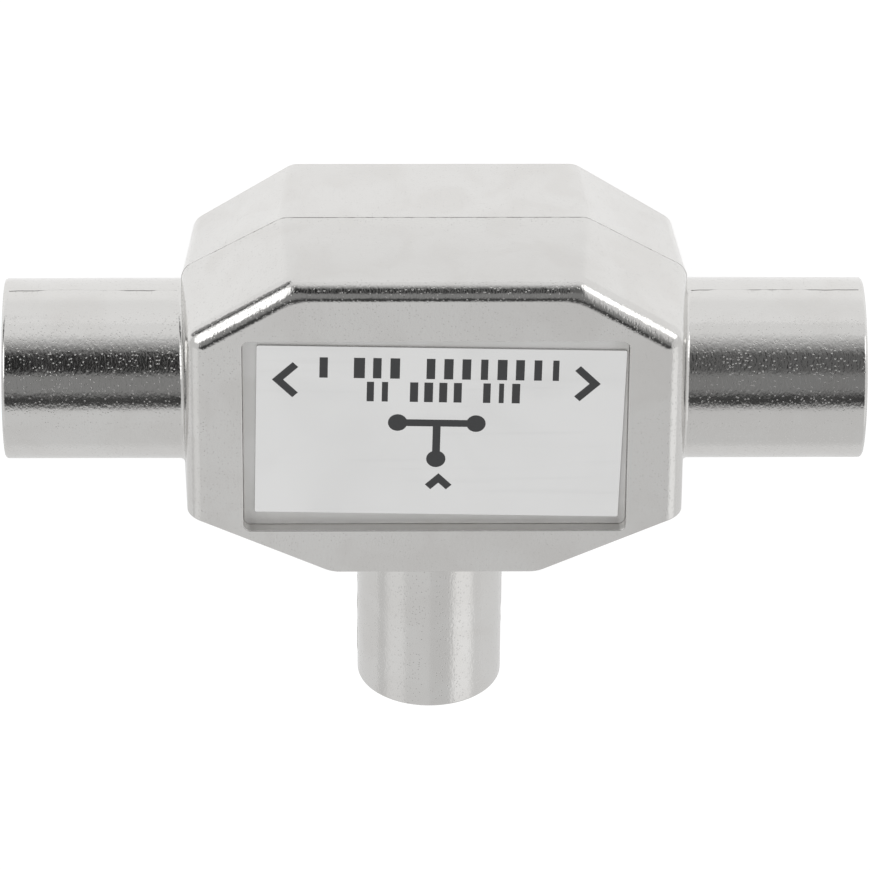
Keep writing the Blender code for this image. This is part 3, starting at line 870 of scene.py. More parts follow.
@dataclass
class FrameSizes:
    """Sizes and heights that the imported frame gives."""

    seat_gap: float = 0.25 * MM
    board_gap: float = 0.55 * MM
    web: float = 2.0 * MM
    axis: float = field(init=False)
    plug_offset: float = field(init=False)
    top: float = field(init=False)
    head: float = field(init=False)
    socket_rim: float = field(init=False)
    plug_rim: float = field(init=False)
    pocket_floor: float = field(init=False)
    ledge: float = field(init=False)
    pocket: tuple[float, float, float, float] = field(init=False)
    hollow: tuple[float, float, float, float] = field(init=False)
    post_top: float = field(init=False)

    def __post_init__(self) -> None:
        """Reads the boxes of the nodes that set each size."""
        gap = self.seat_gap
        low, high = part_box("housing")
        self.top, self.head, self.socket_rim, self.plug_rim = high.z, high.y, high.x, -low.y
        low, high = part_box("right_socket_contact")
        self.axis = (low.z + high.z) / 2
        low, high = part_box("plug_pin")
        self.plug_offset = (low.x + high.x) / 2
        low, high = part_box("cover_plate")
        self.pocket_floor, self.ledge = high.z, low.z - gap
        self.pocket = (low.x - gap, high.x + gap, low.y - gap, high.y + gap)
        low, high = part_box("circuit_board")
        reach = self.board_gap
        self.hollow = (low.x - reach, high.x + reach, low.y - reach, high.y + reach)
        self.post_top = low.z - gap
        heights = (self.axis / MM, self.socket_rim / MM, self.plug_rim / MM)
        log.info("frame: axis %.2f mm, rims %.2f and %.2f mm", *heights)

    def rim(self, port: Port) -> float:
        """How far a connector's rim stands from the crossing of the axes."""
        return self.plug_rim if port is Port.PLUG else self.socket_rim

    def bore_floor(self, port: Port) -> float:
        """How far the floor of a connector's bore stands from there."""
        return self.hollow_end(port) + self.web

    def hollow_end(self, port: Port) -> float:
        """How far the hollow reaches towards a connector."""
        return -self.hollow[2] if port is Port.PLUG else self.hollow[1]


@dataclass(frozen=True)
class Lean:
    """How far the casing's walls have leant in at one height.

    The chamfers give the width and the height of the corner cuts there.
    """

    side: float
    head: float
    foot: float
    head_chamfer: Point
    foot_chamfer: Point


@dataclass(frozen=True)
class Tube:
    """A connector's barrel: its outer and its bore's radius, and the size of its rim's rounded edges."""

    radius: float
    bore: float
    edge: float


@dataclass
class Casting:
    """The one-piece plated casting: casing, three barrels, recess, hollow and bores."""

    sizes: FrameSizes
    half_width: float = 16.25 * MM
    foot: float = 10.95 * MM
    back: Lean = Lean(0.54 * MM, 0.54 * MM, 0.54 * MM, (6.5 * MM, 4.25 * MM), (8.85 * MM, 4.05 * MM))
    parting: Lean = Lean(0.0, 0.0, 0.0, (6.5 * MM, 3.75 * MM), (8.85 * MM, 4.0 * MM))
    front: Lean = Lean(0.33 * MM, 0.0, 0.43 * MM, (6.72 * MM, 4.12 * MM), (9.25 * MM, 4.3 * MM))
    corner_radius: float = 1.3 * MM
    head_corner: float = 4.2 * MM
    foot_corner: float = 2.2 * MM
    foot_edge_share: float = 0.25
    least_corner: float = 0.15 * MM
    back_edge: float = 0.4 * MM
    front_edge: Point = (1.32 * MM, 1.27 * MM)
    root_bend: float = 0.3 * MM
    edge_steps: int = 16
    corner_steps: int = 8
    flash_reach: float = 0.03 * MM
    pocket_corner: float = 0.5 * MM
    pocket_edge: float = 0.05 * MM
    pocket_edge_steps: int = 4
    hollow_corner: float = 0.8 * MM
    floor: float = 1.5 * MM
    post: float = 2.0 * MM
    segments: int = 160
    socket: Tube = Tube(5.85 * MM, 4.8 * MM, 0.25 * MM)
    plug: Tube = Tube(4.75 * MM, 4.1 * MM, 0.15 * MM)
    root_steps: int = 6
    rim_steps: int = 5
    hole_radius: float = 2.4 * MM

    def tube(self, port: Port) -> Tube:
        """The sizes of a connector's barrel."""
        return self.plug if port is Port.PLUG else self.socket

    def corners(self, lean: Lean) -> list[Vector]:
        """The casing's eight corners at one height.

        Args:
            lean: how far the walls lean in there.

        Returns:
            The corners, anticlockwise from the right one of the foot.
        """
        side, foot = self.half_width - lean.side, self.foot - lean.foot
        head = self.sizes.head - self.flash_reach - lean.head
        right = [
            Vector((side - lean.foot_chamfer[0], -foot)),
            Vector((side, lean.foot_chamfer[1] - foot)),
            Vector((side, head - lean.head_chamfer[1])),
            Vector((side - lean.head_chamfer[0], head)),
        ]
        return right + [Vector((-corner.x, corner.y)) for corner in reversed(right)]

    def ring(
        self, corners: Sequence[Vector], step_in: float, height: float, bend: float = 0.0
    ) -> list[Vector]:
        """The casing's rounded outline at one height.

        Args:
            corners: its corners before it steps in.
            step_in: how far it steps in.
            height: its height.
            bend: how much of the head corners' wide bend there is, 0 to 1.

        Returns:
            The outline's points.
        """
        plain = max(self.corner_radius - step_in, self.least_corner)
        wide = plain + (self.head_corner - plain) * bend
        right = [self.foot_corner, self.least_corner, plain, wide]
        foot_step = step_in * self.foot_edge_share
        steps = [foot_step] + [step_in] * 5 + [foot_step] * 2
        return level(rounded(inset(corners, steps), right + right[::-1], self.corner_steps), height)

    def parting_ring(self) -> list[Vector]:
        """The casing's outline in the parting plane of its mould, where it is widest."""
        return self.ring(self.corners(self.parting), 0.0, self.sizes.axis)

    def rings(self) -> list[list[Vector]]:
        """The casing's outlines, with the edges of both faces rounded.

        Returns:
            The outlines from the back to the front.
        """
        edge, (reach, drop) = self.back_edge, self.front_edge
        back, front = self.corners(self.back), self.corners(self.front)
        lower = arc((edge, edge), (-edge, -edge), 90, 0, self.edge_steps)
        upper = arc((reach, self.sizes.top - drop), (-reach, drop), 0, 90, self.edge_steps)
        rings = [self.ring(back, step_in, height) for step_in, height in lower]
        rings.append(self.parting_ring())
        return rings + [self.ring(front, step_in, height, step_in / reach) for step_in, height in upper]

    def wall(self, port: Port, height: float) -> float:
        """How far the wall that carries a connector stands from the crossing of the axes.

        Args:
            port: the connector.
            height: a height over the axes.

        Returns:
            The distance at that height.
        """
        lean = self.front if height > 0.0 else self.back
        depth = self.sizes.top - self.sizes.axis if height > 0.0 else self.sizes.axis
        widest, draft = (self.foot, lean.foot) if port is Port.PLUG else (self.half_width, lean.side)
        return widest - draft * abs(height) / depth

    def barrel(self, port: Port) -> bpy.types.Object:
        """A connector's solid barrel with a rounded rim and a hollow bend where it leaves its wall.

        Args:
            port: the connector.

        Returns:
            The barrel, whose root follows the wall's lean.
        """
        sizes, tube, bend = self.sizes, self.tube(port), self.root_bend
        rim, foot, edge = sizes.rim(port), tube.radius + bend, tube.edge
        hollow_bend = arc((0.0, bend), (-bend, -bend), 90, 0, self.root_steps)
        root = [(foot, -OVERSHOOT)] + [(foot + out, rise) for out, rise in hollow_bend]
        end = arc((tube.radius - edge, rim - edge), (edge, edge), 0, 90, self.rim_steps)
        turns = [math.tau * i / self.segments for i in range(self.segments)]
        matrix = port.matrix(sizes)
        rings = []
        for i, (reach, along) in enumerate(root + end):
            ring = []
            for turn in turns:
                arm = Vector((reach * math.cos(turn), reach * math.sin(turn), 0.0))
                start = self.wall(port, (matrix @ arm).z - sizes.axis) if i < len(root) else 0.0
                ring.append(matrix @ (arm + Vector((0.0, 0.0, start + along))))
            rings.append(ring)
        return loft(f"{port.label}_barrel", rings)

    def bore(self, port: Port) -> bpy.types.Object:
        """The cutter for a connector's bore with a lead-in, and the hole from there into the hollow.

        Args:
            port: the connector.

        Returns:
            The cutter.
        """
        sizes, tube = self.sizes, self.tube(port)
        rim, start, floor = sizes.rim(port), sizes.hollow_end(port) - OVERSHOOT, sizes.bore_floor(port)
        edge, mouth = tube.edge, tube.bore + tube.edge
        profile = [(0.0, start), (self.hole_radius, start), (self.hole_radius, floor), (tube.bore, floor)]
        profile += arc((mouth, rim - edge), (-edge, edge), 0, 90, self.rim_steps)
        profile += [(mouth, rim + OVERSHOOT), (0.0, rim + OVERSHOOT)]
        return turned(f"{port.label}_bore", profile, self.segments, port.matrix(sizes))

    def recess(self) -> bpy.types.Object:
        """The cutter for the lid's recess, flared at the front to round its rim.

        Returns:
            The cutter.
        """
        sizes = self.sizes
        corners = rectangle(*sizes.pocket)
        edge = self.pocket_edge
        flare = arc((edge, sizes.top - edge), (-edge, edge), 0, 90, self.pocket_edge_steps)
        rings = [level(rounded(corners, self.pocket_corner, self.corner_steps), sizes.ledge)]
        for out, height in [*flare, (edge, sizes.top + OVERSHOOT)]:
            outline = rounded(inset(corners, -out), self.pocket_corner + out, self.corner_steps)
            rings.append(level(outline, height))
        return loft("recess", rings)

    def hollows(self) -> list[bpy.types.Object]:
        """The cutters for the board's hollow.

        Returns:
            The hollow, and the cross below it that leaves the four posts.
        """
        sizes, post = self.sizes, self.post
        outline = rounded(rectangle(*sizes.hollow), self.hollow_corner, self.corner_steps)
        above = loft("hollow", [level(outline, sizes.post_top), level(outline, sizes.ledge + OVERSHOOT)])
        _, right, foot, head = sizes.hollow
        quarter = [
            (right - post, foot),
            (right - post, foot + post),
            (right, foot + post),
            (right, head - post),
            (right - post, head - post),
            (right - post, head),
        ]
        cross = [Vector(point) for point in quarter + [(-x, y) for x, y in reversed(quarter)]]
        below = loft("under_board", [level(cross, self.floor), level(cross, sizes.post_top + OVERSHOOT)])
        return [above, below]

    def dress(self, casting: bpy.types.Object) -> None:
        """Gives the casting its bright skin, and the walls of the recess their satin one.

        Args:
            casting: the casting.
        """
        low, rim, near = self.sizes.ledge, self.sizes.top - self.pocket_edge / 2, WELD_DISTANCE
        left, right, foot, head = self.sizes.pocket
        for finish in (NICKEL, SATIN_NICKEL):
            casting.data.materials.append(Shelf.take(finish))
        for face in casting.data.polygons:
            x, y, z = face.center
            inside = left - near < x < right + near and foot - near < y < head + near
            if inside and low < z < rim:
                face.material_index = 1

    def build(self) -> None:
        """Builds and dresses the casting and the flash at its parting line."""
        casting = loft("housing_casting", self.rings())
        tools = [(self.barrel(port), Cut.JOIN) for port in Port]
        tools += [(tool, Cut.REMOVE) for tool in (self.recess(), *self.hollows())]
        tools += [(self.bore(port), Cut.REMOVE) for port in Port]
        carve(casting, tools)
        shade(casting, crease_height=self.sizes.axis)
        self.dress(casting)
        install(casting, NICKEL, ["housing"])
        MouldFlash(self).build()


@dataclass(frozen=True)
class Ridge:
    """Sizes of one stretch of flash: its radius, its waver up and down, and how thin it gets."""

    name: str
    radius: float
    waver: float
    waver_scale: float
    thinnest: float
    seed: float


@dataclass
class MouldFlash:
    """The thin ridges that the mould's parting line leaves on the casing and the barrels."""

    casting: Casting
    step: float = 0.18 * MM
    rim_gap: float = 0.4 * MM
    sides: int = 8
    patch_edges: Point = (0.42, 0.54)
    casing: Ridge = Ridge("casing_flash", 0.03 * MM, 0.02 * MM, 1500.0, 0.55, 3.0)
    barrels: Ridge = Ridge("barrel_flash", 0.035 * MM, 0.5 * MM, 420.0, 0.05, 7.0)

    def tree(self) -> bpy.types.NodeTree:
        """Builds the geometry tree that gives a curve an uneven round ridge.

        Returns:
            The tree.
        """
        inputs = {
            "Geometry": "Geometry", "Radius": "Float", "Step": "Float", "Waver": "Float",
            "Waver Scale": "Float", "Thinnest": "Float", "Seed": "Float", "Finish": "Material",
        }
        graph, given, result = new_group("mould flash", "GeometryNodeTree", inputs, {"Geometry": "Geometry"})
        path = graph.node(
            "GeometryNodeResampleCurve", {"Curve": given["Geometry"], "Length": given["Step"]}, mode="LENGTH"
        ).outputs["Curve"]
        noise = graph.node(
            "ShaderNodeTexNoise", {"Scale": given["Waver Scale"], "W": given["Seed"]}, noise_dimensions="4D"
        )
        graph.feed(noise.inputs["Vector"], graph.node("GeometryNodeInputPosition").outputs[0])
        centred = graph.math("SUBTRACT", noise.outputs["Fac"], 0.5)
        lift = graph.math("MULTIPLY", centred, given["Waver"])
        shift = graph.node("ShaderNodeCombineXYZ", {"Z": lift}).outputs[0]
        moved = graph.node("GeometryNodeSetPosition", {"Geometry": path, "Offset": shift})
        patches = graph.node("ShaderNodeSeparateXYZ", {"Vector": noise.outputs["Color"]}).outputs["X"]
        full = graph.ramp(patches, *self.patch_edges)
        thick = graph.mix(full, given["Thinnest"], 1.0, "FLOAT")
        profile = graph.node(
            "GeometryNodeCurvePrimitiveCircle", {"Resolution": self.sides, "Radius": given["Radius"]}
        )
        values = {"Profile Curve": profile.outputs["Curve"], "Fill Caps": True, "Scale": thick}
        ridge = graph.node("GeometryNodeCurveToMesh", {"Curve": moved.outputs[0], **values})
        real = graph.node("GeometryNodeRealizeInstances", {"Geometry": ridge.outputs["Mesh"]})
        dressed = graph.node(
            "GeometryNodeSetMaterial", {"Geometry": real.outputs[0], "Material": given["Finish"]}
        )
        graph.feed(result.inputs["Geometry"], dressed.outputs[0])
        return graph.tree

    def barrel_lines(self) -> list[list[Vector]]:
        """The two straight parting lines of each barrel.

        Returns:
            The two ends of each line.
        """
        casting, sizes = self.casting, self.casting.sizes
        found = []
        for port in Port:
            radius = casting.tube(port).radius
            matrix = port.matrix(sizes)
            for side in (-radius, radius):
                arm = Vector((side, 0.0, 0.0)) if port is Port.PLUG else Vector((0.0, side, 0.0))
                ends = [casting.wall(port, 0.0) + casting.root_bend, sizes.rim(port) - self.rim_gap]
                found.append([matrix @ Vector((0.0, 0.0, end)) + arm for end in ends])
        return found

    def ridge(
        self, shape: Ridge, lines: Sequence[Sequence[Vector]], closed: bool, tree: bpy.types.NodeTree
    ) -> None:
        """Builds and dresses one ridge.

        Args:
            shape: its name and sizes.
            lines: the points of each line that it follows.
            closed: whether the lines close on themselves.
            tree: the geometry tree for ridges.
        """
        curve = bpy.data.curves.new(shape.name, "CURVE")
        curve.dimensions = "3D"
        for points in lines:
            spline = curve.splines.new("POLY")
            spline.points.add(len(points) - 1)
            spline.use_cyclic_u = closed
            for knot, point in zip(spline.points, points):
                knot.co = (*point, 1.0)
        guide = bpy.data.objects.new(shape.name, curve)
        bpy.context.scene.collection.objects.link(guide)
        values = {
            "Radius": shape.radius, "Step": self.step, "Waver": shape.waver, "Seed": shape.seed,
            "Waver Scale": shape.waver_scale, "Thinnest": shape.thinnest, "Finish": Shelf.take(NICKEL),
        }
        grow(guide, tree, values)
        flash = as_mesh(guide, shape.name)
        flash.data.shade_smooth()
        install(flash, NICKEL)

    def build(self) -> None:
        """Builds both ridges."""
        tree = self.tree()
        self.ridge(self.casing, [self.casting.parting_ring()], True, tree)
        self.ridge(self.barrels, self.barrel_lines(), False, tree)


@dataclass
class Lid:
    """The plate pressed into the recess, with a hairline seam round it."""

    sizes: FrameSizes
    seam: float = 0.012 * MM
    lift: float = 0.02 * MM
    corner: float = 0.45 * MM
    edge: float = 0.06 * MM
    corner_steps: int = 8
    edge_steps: int = 4

    def build(self) -> None:
        """Builds and dresses the plate."""
        sizes = self.sizes
        corners = inset(rectangle(*sizes.pocket), self.seam)
        edge = self.edge
        rings = [level(rounded(corners, self.corner, self.corner_steps), sizes.ledge + self.lift)]
        rim = arc((edge, sizes.pocket_floor - edge), (-edge, edge), 0, 90, self.edge_steps)
        for step_in, height in rim:
            outline = rounded(inset(corners, step_in), self.corner - step_in, self.corner_steps)
            rings.append(level(outline, height))
        lid = loft("pressed_lid", rings)
        shade(lid)
        install(lid, LID_METAL, ["cover_plate"])


@dataclass
class BarRow:
    """A row of upright printed bars in groups, as long and as tall as one line of print."""

    name: str
    start: Point
    length: float
    height: float
    groups: tuple[int, ...]
    seed: int


@dataclass(frozen=True)
class ArrowHead:
    """A printed arrow head: its tip, the direction that it points in and half its height."""

    tip: Point
    way: Point
    half: float


@dataclass
class Label:
    """The foil label and its print, stuck on a little out of square."""

    sizes: FrameSizes
    width: float = 23.5 * MM
    height: float = 12.5 * MM
    tilt: float = math.radians(-1.05)
    skew: float = 0.14 * MM
    thickness: float = 0.1 * MM
    corner: float = 0.12 * MM
    corner_steps: int = 4
    ink: float = 0.012 * MM
    bar_share: Point = (0.3, 0.62)
    stroke: float = 0.5 * MM
    rows: tuple[BarRow, ...] = (
        BarRow("title_row", (-8.05 * MM, 3.94 * MM), 15.9 * MM, 1.5 * MM, (1, 3, 8), 5),
        BarRow("second_row", (-4.95 * MM, 2.22 * MM), 10.2 * MM, 1.45 * MM, (2, 4, 3), 11),
    )
    symbol_centre: Point = (-0.2 * MM, -0.7 * MM)
    symbol_half: Point = (2.5 * MM, 1.35 * MM)
    dot_radius: float = 0.62 * MM
    dot_steps: int = 24
    arrow_heads: tuple[ArrowHead, ...] = (
        ArrowHead((-10.4 * MM, 3.75 * MM), (-1.0, 0.0), 0.95 * MM),
        ArrowHead((9.8 * MM, 3.75 * MM), (1.0, 0.0), 0.95 * MM),
        ArrowHead((0.0, -3.5 * MM), (0.0, 1.0), 0.5 * MM),
    )

    def place(self) -> Matrix:
        """From the label's own frame to the splitter's.

        Returns:
            A matrix that puts the origin at the middle of the foil's top.
        """
        low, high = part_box("label_plate")
        centre = (low + high) / 2
        top = self.sizes.pocket_floor + self.thickness
        return Matrix.Translation((centre.x, centre.y, top)) @ Matrix.Rotation(self.tilt, 4, "Z")

    def foil(self) -> None:
        """Builds the foil, with its cut edge darker than its face."""
        half_width, half_height = self.width / 2, self.height / 2
        corners = rectangle(-half_width, half_width, -half_height, half_height)
        corners[1].x -= self.skew
        outline = rounded(corners, self.corner, self.corner_steps)
        foil = loft("foil_label", [level(outline, -self.thickness), level(outline, 0.0)])
        foil.data.transform(self.place())
        foil.data.materials.append(Shelf.take(FOIL))
        foil.data.materials.append(Shelf.take(LABEL_EDGE_GREY))
        for face in foil.data.polygons:
            face.material_index = 0 if face.normal.z > 0.5 else 1
        install(foil, FOIL, ["label_plate"])

    def bar_tree(self) -> bpy.types.NodeTree:
        """Builds the geometry tree that sets bars of uneven width along the points of a row.

        Returns:
            The tree.
        """
        inputs = {
            "Geometry": "Geometry", "Pitch": "Float", "Height": "Float", "Depth": "Float",
            "Narrowest": "Float", "Widest": "Float", "Seed": "Int", "Finish": "Material",
        }
        graph, given, result = new_group("print bars", "GeometryNodeTree", inputs, {"Geometry": "Geometry"})
        widths = graph.node(
            "FunctionNodeRandomValue",
            {2: given["Narrowest"], 3: given["Widest"], "Seed": given["Seed"]},
            data_type="FLOAT",
        ).outputs[1]
        size = graph.node(
            "ShaderNodeCombineXYZ", {"X": given["Pitch"], "Y": given["Height"], "Z": given["Depth"]}
        ).outputs[0]
        bar = graph.node("GeometryNodeMeshCube", {"Size": size}).outputs["Mesh"]
        scale = graph.node("ShaderNodeCombineXYZ", {"X": widths, "Y": 1.0, "Z": 1.0}).outputs[0]
        set_out = graph.node(
            "GeometryNodeInstanceOnPoints", {"Points": given["Geometry"], "Instance": bar, "Scale": scale}
        )
        real = graph.node("GeometryNodeRealizeInstances", {"Geometry": set_out.outputs[0]})
        dressed = graph.node(
            "GeometryNodeSetMaterial", {"Geometry": real.outputs[0], "Material": given["Finish"]}
        )
        graph.feed(result.inputs["Geometry"], dressed.outputs[0])
        return graph.tree

    def row(self, row: BarRow, tree: bpy.types.NodeTree) -> bpy.types.Object:
        """One row of bars.

        Args:
            row: its place, size and groups.
            tree: the geometry tree for bars.

        Returns:
            The row as a plain mesh, in the label's own frame.
        """
        cells = sum(row.groups) + len(row.groups) - 1
        pitch = row.length / cells
        shape = bmesh.new()
        cell = 0
        for group in row.groups:
            for _ in range(group):
                middle = row.start[0] + (cell + 0.5) * pitch
                shape.verts.new((middle, row.start[1] + row.height / 2, self.ink / 2))
                cell += 1
            cell += 1
        mesh = bpy.data.meshes.new(row.name)
        shape.to_mesh(mesh)
        shape.free()
        guide = bpy.data.objects.new(row.name, mesh)
        bpy.context.scene.collection.objects.link(guide)
        values = {
            "Pitch": pitch, "Height": row.height, "Depth": self.ink, "Narrowest": self.bar_share[0],
            "Widest": self.bar_share[1], "Seed": row.seed, "Finish": Shelf.take(INK),
        }
        grow(guide, tree, values)
        return as_mesh(guide, row.name)

    def slab(self, outline: Sequence[Vector]) -> bpy.types.Object:
        """A printed shape with this outline, in the label's own frame."""
        return loft("slab", [level(outline, 0.0), level(outline, self.ink)])

    def stroke_between(self, start: Vector, end: Vector) -> bpy.types.Object:
        """A straight printed stroke.

        Args:
            start: the middle of one end.
            end: the middle of the other.

        Returns:
            The stroke.
        """
        along = (end - start).normalized() * self.stroke / 2
        side = along.orthogonal()
        start, end = start - along, end + along
        return self.slab([start - side, end - side, end + side, start + side])

    def disc(self, centre: Vector, radius: float) -> bpy.types.Object:
        """A printed round dot."""
        turn = arc((0, 0), (radius, radius), 0, 360, self.dot_steps)
        return self.slab([centre + Vector(point) for point in turn[:-1]])

    def chevron(self, head: ArrowHead) -> list[bpy.types.Object]:
        """A printed arrow head.

        Args:
            head: its place and size.

        Returns:
            Its two strokes.
        """
        tip, way = Vector(head.tip), Vector(head.way)
        back = tip - way * head.half
        side = way.orthogonal() * head.half
        return [self.stroke_between(tip, back + side), self.stroke_between(tip, back - side)]

    def marks(self) -> list[bpy.types.Object]:
        """The fork of the signal path, with arrow heads out of the sockets and into the plug.

        Returns:
            The printed shapes.
        """
        centre, half = Vector(self.symbol_centre), Vector(self.symbol_half)
        left = centre + Vector((-half.x, half.y))
        right = centre + Vector((half.x, half.y))
        middle = centre + Vector((0.0, half.y))
        low = centre + Vector((0.0, -half.y))
        made = [self.stroke_between(left, right), self.stroke_between(middle, low)]
        made += [self.disc(spot, self.dot_radius) for spot in (left, right, low)]
        for head in self.arrow_heads:
            made += self.chevron(head)
        return made

    def build(self) -> None:
        """Builds and dresses the foil and the print."""
        self.foil()
        tree = self.bar_tree()
        printed = [self.row(row, tree) for row in self.rows]
        for made in printed:
            made.data.transform(self.place())
            install(made, INK)
        symbols, *others = self.marks()
        symbols.name = symbols.data.name = "port_marks"
        carve(symbols, [(other, Cut.JOIN) for other in others])
        symbols.data.transform(self.place())
        install(symbols, INK)


@dataclass
class Connector:
    """The insulator and the contact of one connector."""

    sizes: FrameSizes
    port: Port
    segments: int = 96
    slit: float = 0.03 * MM
    edge: float = 0.3 * MM
    edge_steps: int = 6
    hole: float = 1.03 * MM
    spigot: float = 2.15 * MM
    chamfer: float = 0.1 * MM
    tail: float = 0.5 * MM
    tail_length: float = 1.9 * MM
    shank: float = 1.0 * MM
    contact_outer: float = 1.8 * MM
    contact_bore: float = 1.2 * MM
    contact_edge: float = 0.25 * MM
    mouth_edge: float = 0.15 * MM
    mouth_steps: int = 4
    bore_depths: Point = (6.5 * MM, 6.8 * MM)
    slot_depth: float = 5.5 * MM
    slot_arms: tuple[Point, Point] = ((3.0 * MM, 0.25 * MM), (0.25 * MM, 3.0 * MM))
    collar: float = 1.7 * MM
    collar_length: float = 1.25 * MM
    pin: float = 1.2 * MM
    nose: float = 0.9 * MM
    nose_steps: int = 10

    @property
    def span(self) -> tuple[float, float]:
        """Where the insulator starts and ends.

        Returns:
            The two places along the connector's axis.
        """
        low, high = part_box(f"{self.port.label}_insulator")
        axis = {Port.LEFT_SOCKET: (-high.x, -low.x), Port.RIGHT_SOCKET: (low.x, high.x)}
        return axis.get(self.port, (-high.y, -low.y))

    @property
    def bore_radius(self) -> float:
        """The radius of the bore that holds the insulator."""
        low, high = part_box(f"{self.port.label}_insulator")
        return (high.z - low.z) / 2 + self.sizes.seat_gap

    def insulator(self) -> None:
        """Builds and dresses the moulded insulator."""
        start, face = self.span
        outer = self.bore_radius - self.slit
        seat = self.sizes.bore_floor(self.port) + self.slit
        hole, edge, chamfer = self.hole, self.edge, self.chamfer
        profile = [(hole, start), (self.spigot, start), (self.spigot, seat), (outer, seat)]
        profile += arc((outer - edge, face - edge), (edge, edge), 0, 90, self.edge_steps)
        profile += [(hole + chamfer, face), (hole, face - chamfer)]
        name = f"{self.port.label}_insulator"
        made = turned(f"{name}_moulding", profile, self.segments, self.port.matrix(self.sizes))
        shade(made)
        install(made, POLYTHENE, [name])

    def tail_and_shank(self, start: float, face: float) -> list[Point]:
        """The contact's tail and the shank through the insulator.

        Args:
            start: where the contact starts.
            face: where its head sits on the insulator.

        Returns:
            The profile's points.
        """
        tail, chamfer, step = self.tail, self.chamfer, start + self.tail_length
        end = [(0.0, start), (tail - chamfer, start), (tail, start + chamfer)]
        return end + [(tail, step), (self.shank, step), (self.shank, face)]

    def socket_contact(self) -> None:
        """Builds and dresses the hollow contact with its four springing fingers."""
        low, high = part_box("right_socket_contact")
        start, mouth = low.x, high.x
        face, chamfer = self.span[1] + self.slit, self.chamfer
        outer, bore, edge, inner_edge = (
            self.contact_outer, self.contact_bore, self.contact_edge, self.mouth_edge
        )
        profile = self.tail_and_shank(start, face) + [(outer - chamfer, face), (outer, face + chamfer)]
        profile += arc((outer - edge, mouth - edge), (edge, edge), 0, 90, self.edge_steps)
        lip = (bore + inner_edge, mouth - inner_edge)
        profile += arc(lip, (inner_edge, inner_edge), 90, 180, self.mouth_steps)
        profile += [(bore, mouth - self.bore_depths[0]), (0.0, mouth - self.bore_depths[1])]
        matrix = self.port.matrix(self.sizes)
        contact = turned(f"{self.port.label}_contact_turning", profile, self.segments, matrix)
        slots = []
        for across, along in self.slot_arms:
            outline = rectangle(-across, across, -along, along)
            floor, end = level(outline, mouth - self.slot_depth), level(outline, mouth + OVERSHOOT)
            slot = loft("finger_slot", [floor, end])
            slot.data.transform(matrix)
            slots.append((slot, Cut.REMOVE))
        carve(contact, slots)
        shade(contact)
        install(contact, CONTACT_METAL, [f"{self.port.label}_contact"])

    def plug_pin(self) -> None:
        """Builds and dresses the solid pin with its collar and rounded tip."""
        low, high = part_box("plug_pin")
        start, tip = -high.y, -low.y
        face = self.span[1] + self.slit
        collar, edge, end = self.collar, self.chamfer, face + self.collar_length
        profile = self.tail_and_shank(start, face) + [(collar - edge, face), (collar, face + edge)]
        profile += [(collar, end - edge), (collar - edge, end), (self.pin, end)]
        profile += arc((0.0, tip - self.nose), (self.pin, self.nose), 0, 90, self.nose_steps)
        pin = turned("plug_pin_turning", profile, self.segments, self.port.matrix(self.sizes))
        shade(pin)
        install(pin, CONTACT_METAL, ["plug_pin"])

    def build(self) -> None:
        """Builds both pieces."""
        self.insulator()
        if self.port is Port.PLUG:
            self.plug_pin()
        else:
            self.socket_contact()


@dataclass
class Circuit:
    """The board and the parts on it, which keep their solids and get their finishes."""

    finishes: dict[str, Finish] = field(
        default_factory=lambda: {
            "circuit_board": LAMINATE,
            "matching_core": FERRITE,
            "splitting_core": FERRITE,
            "matching_winding": ENAMELLED_WIRE,
            "splitting_winding": ENAMELLED_WIRE,
            "balance_resistor": LACQUER,
            "input_capacitor": CERAMIC,
            "left_output_capacitor": CERAMIC,
            "right_output_capacitor": CERAMIC,
            "left_socket_solder_joint": SOLDER,
            "right_socket_solder_joint": SOLDER,
            "plug_solder_joint": SOLDER,
            "ground_solder_joint": SOLDER,
        }
    )

    def dress(self) -> None:
        """Gives each solid its finish."""
        for name, finish in self.finishes.items():
            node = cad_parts[name]
            for slot in node.material_slots:
                slot.material = Shelf.take(finish)
            log.info("%s: finish %s", name, finish.name)


@dataclass(frozen=True)
class TentPart:
    """One part of the tent: where it starts and ends, and its brightness left and right of the middle.

    The angles are in degrees from straight up, above 0 towards the head side, where the camera is.
    """

    name: str
    start: float
    end: float
    left: float
    right: float


@dataclass(frozen=True)
class SideLamp:
    """A soft bright patch of the tent."""

    direction: tuple[float, float, float]
    inner: float
    outer: float
    strength: float


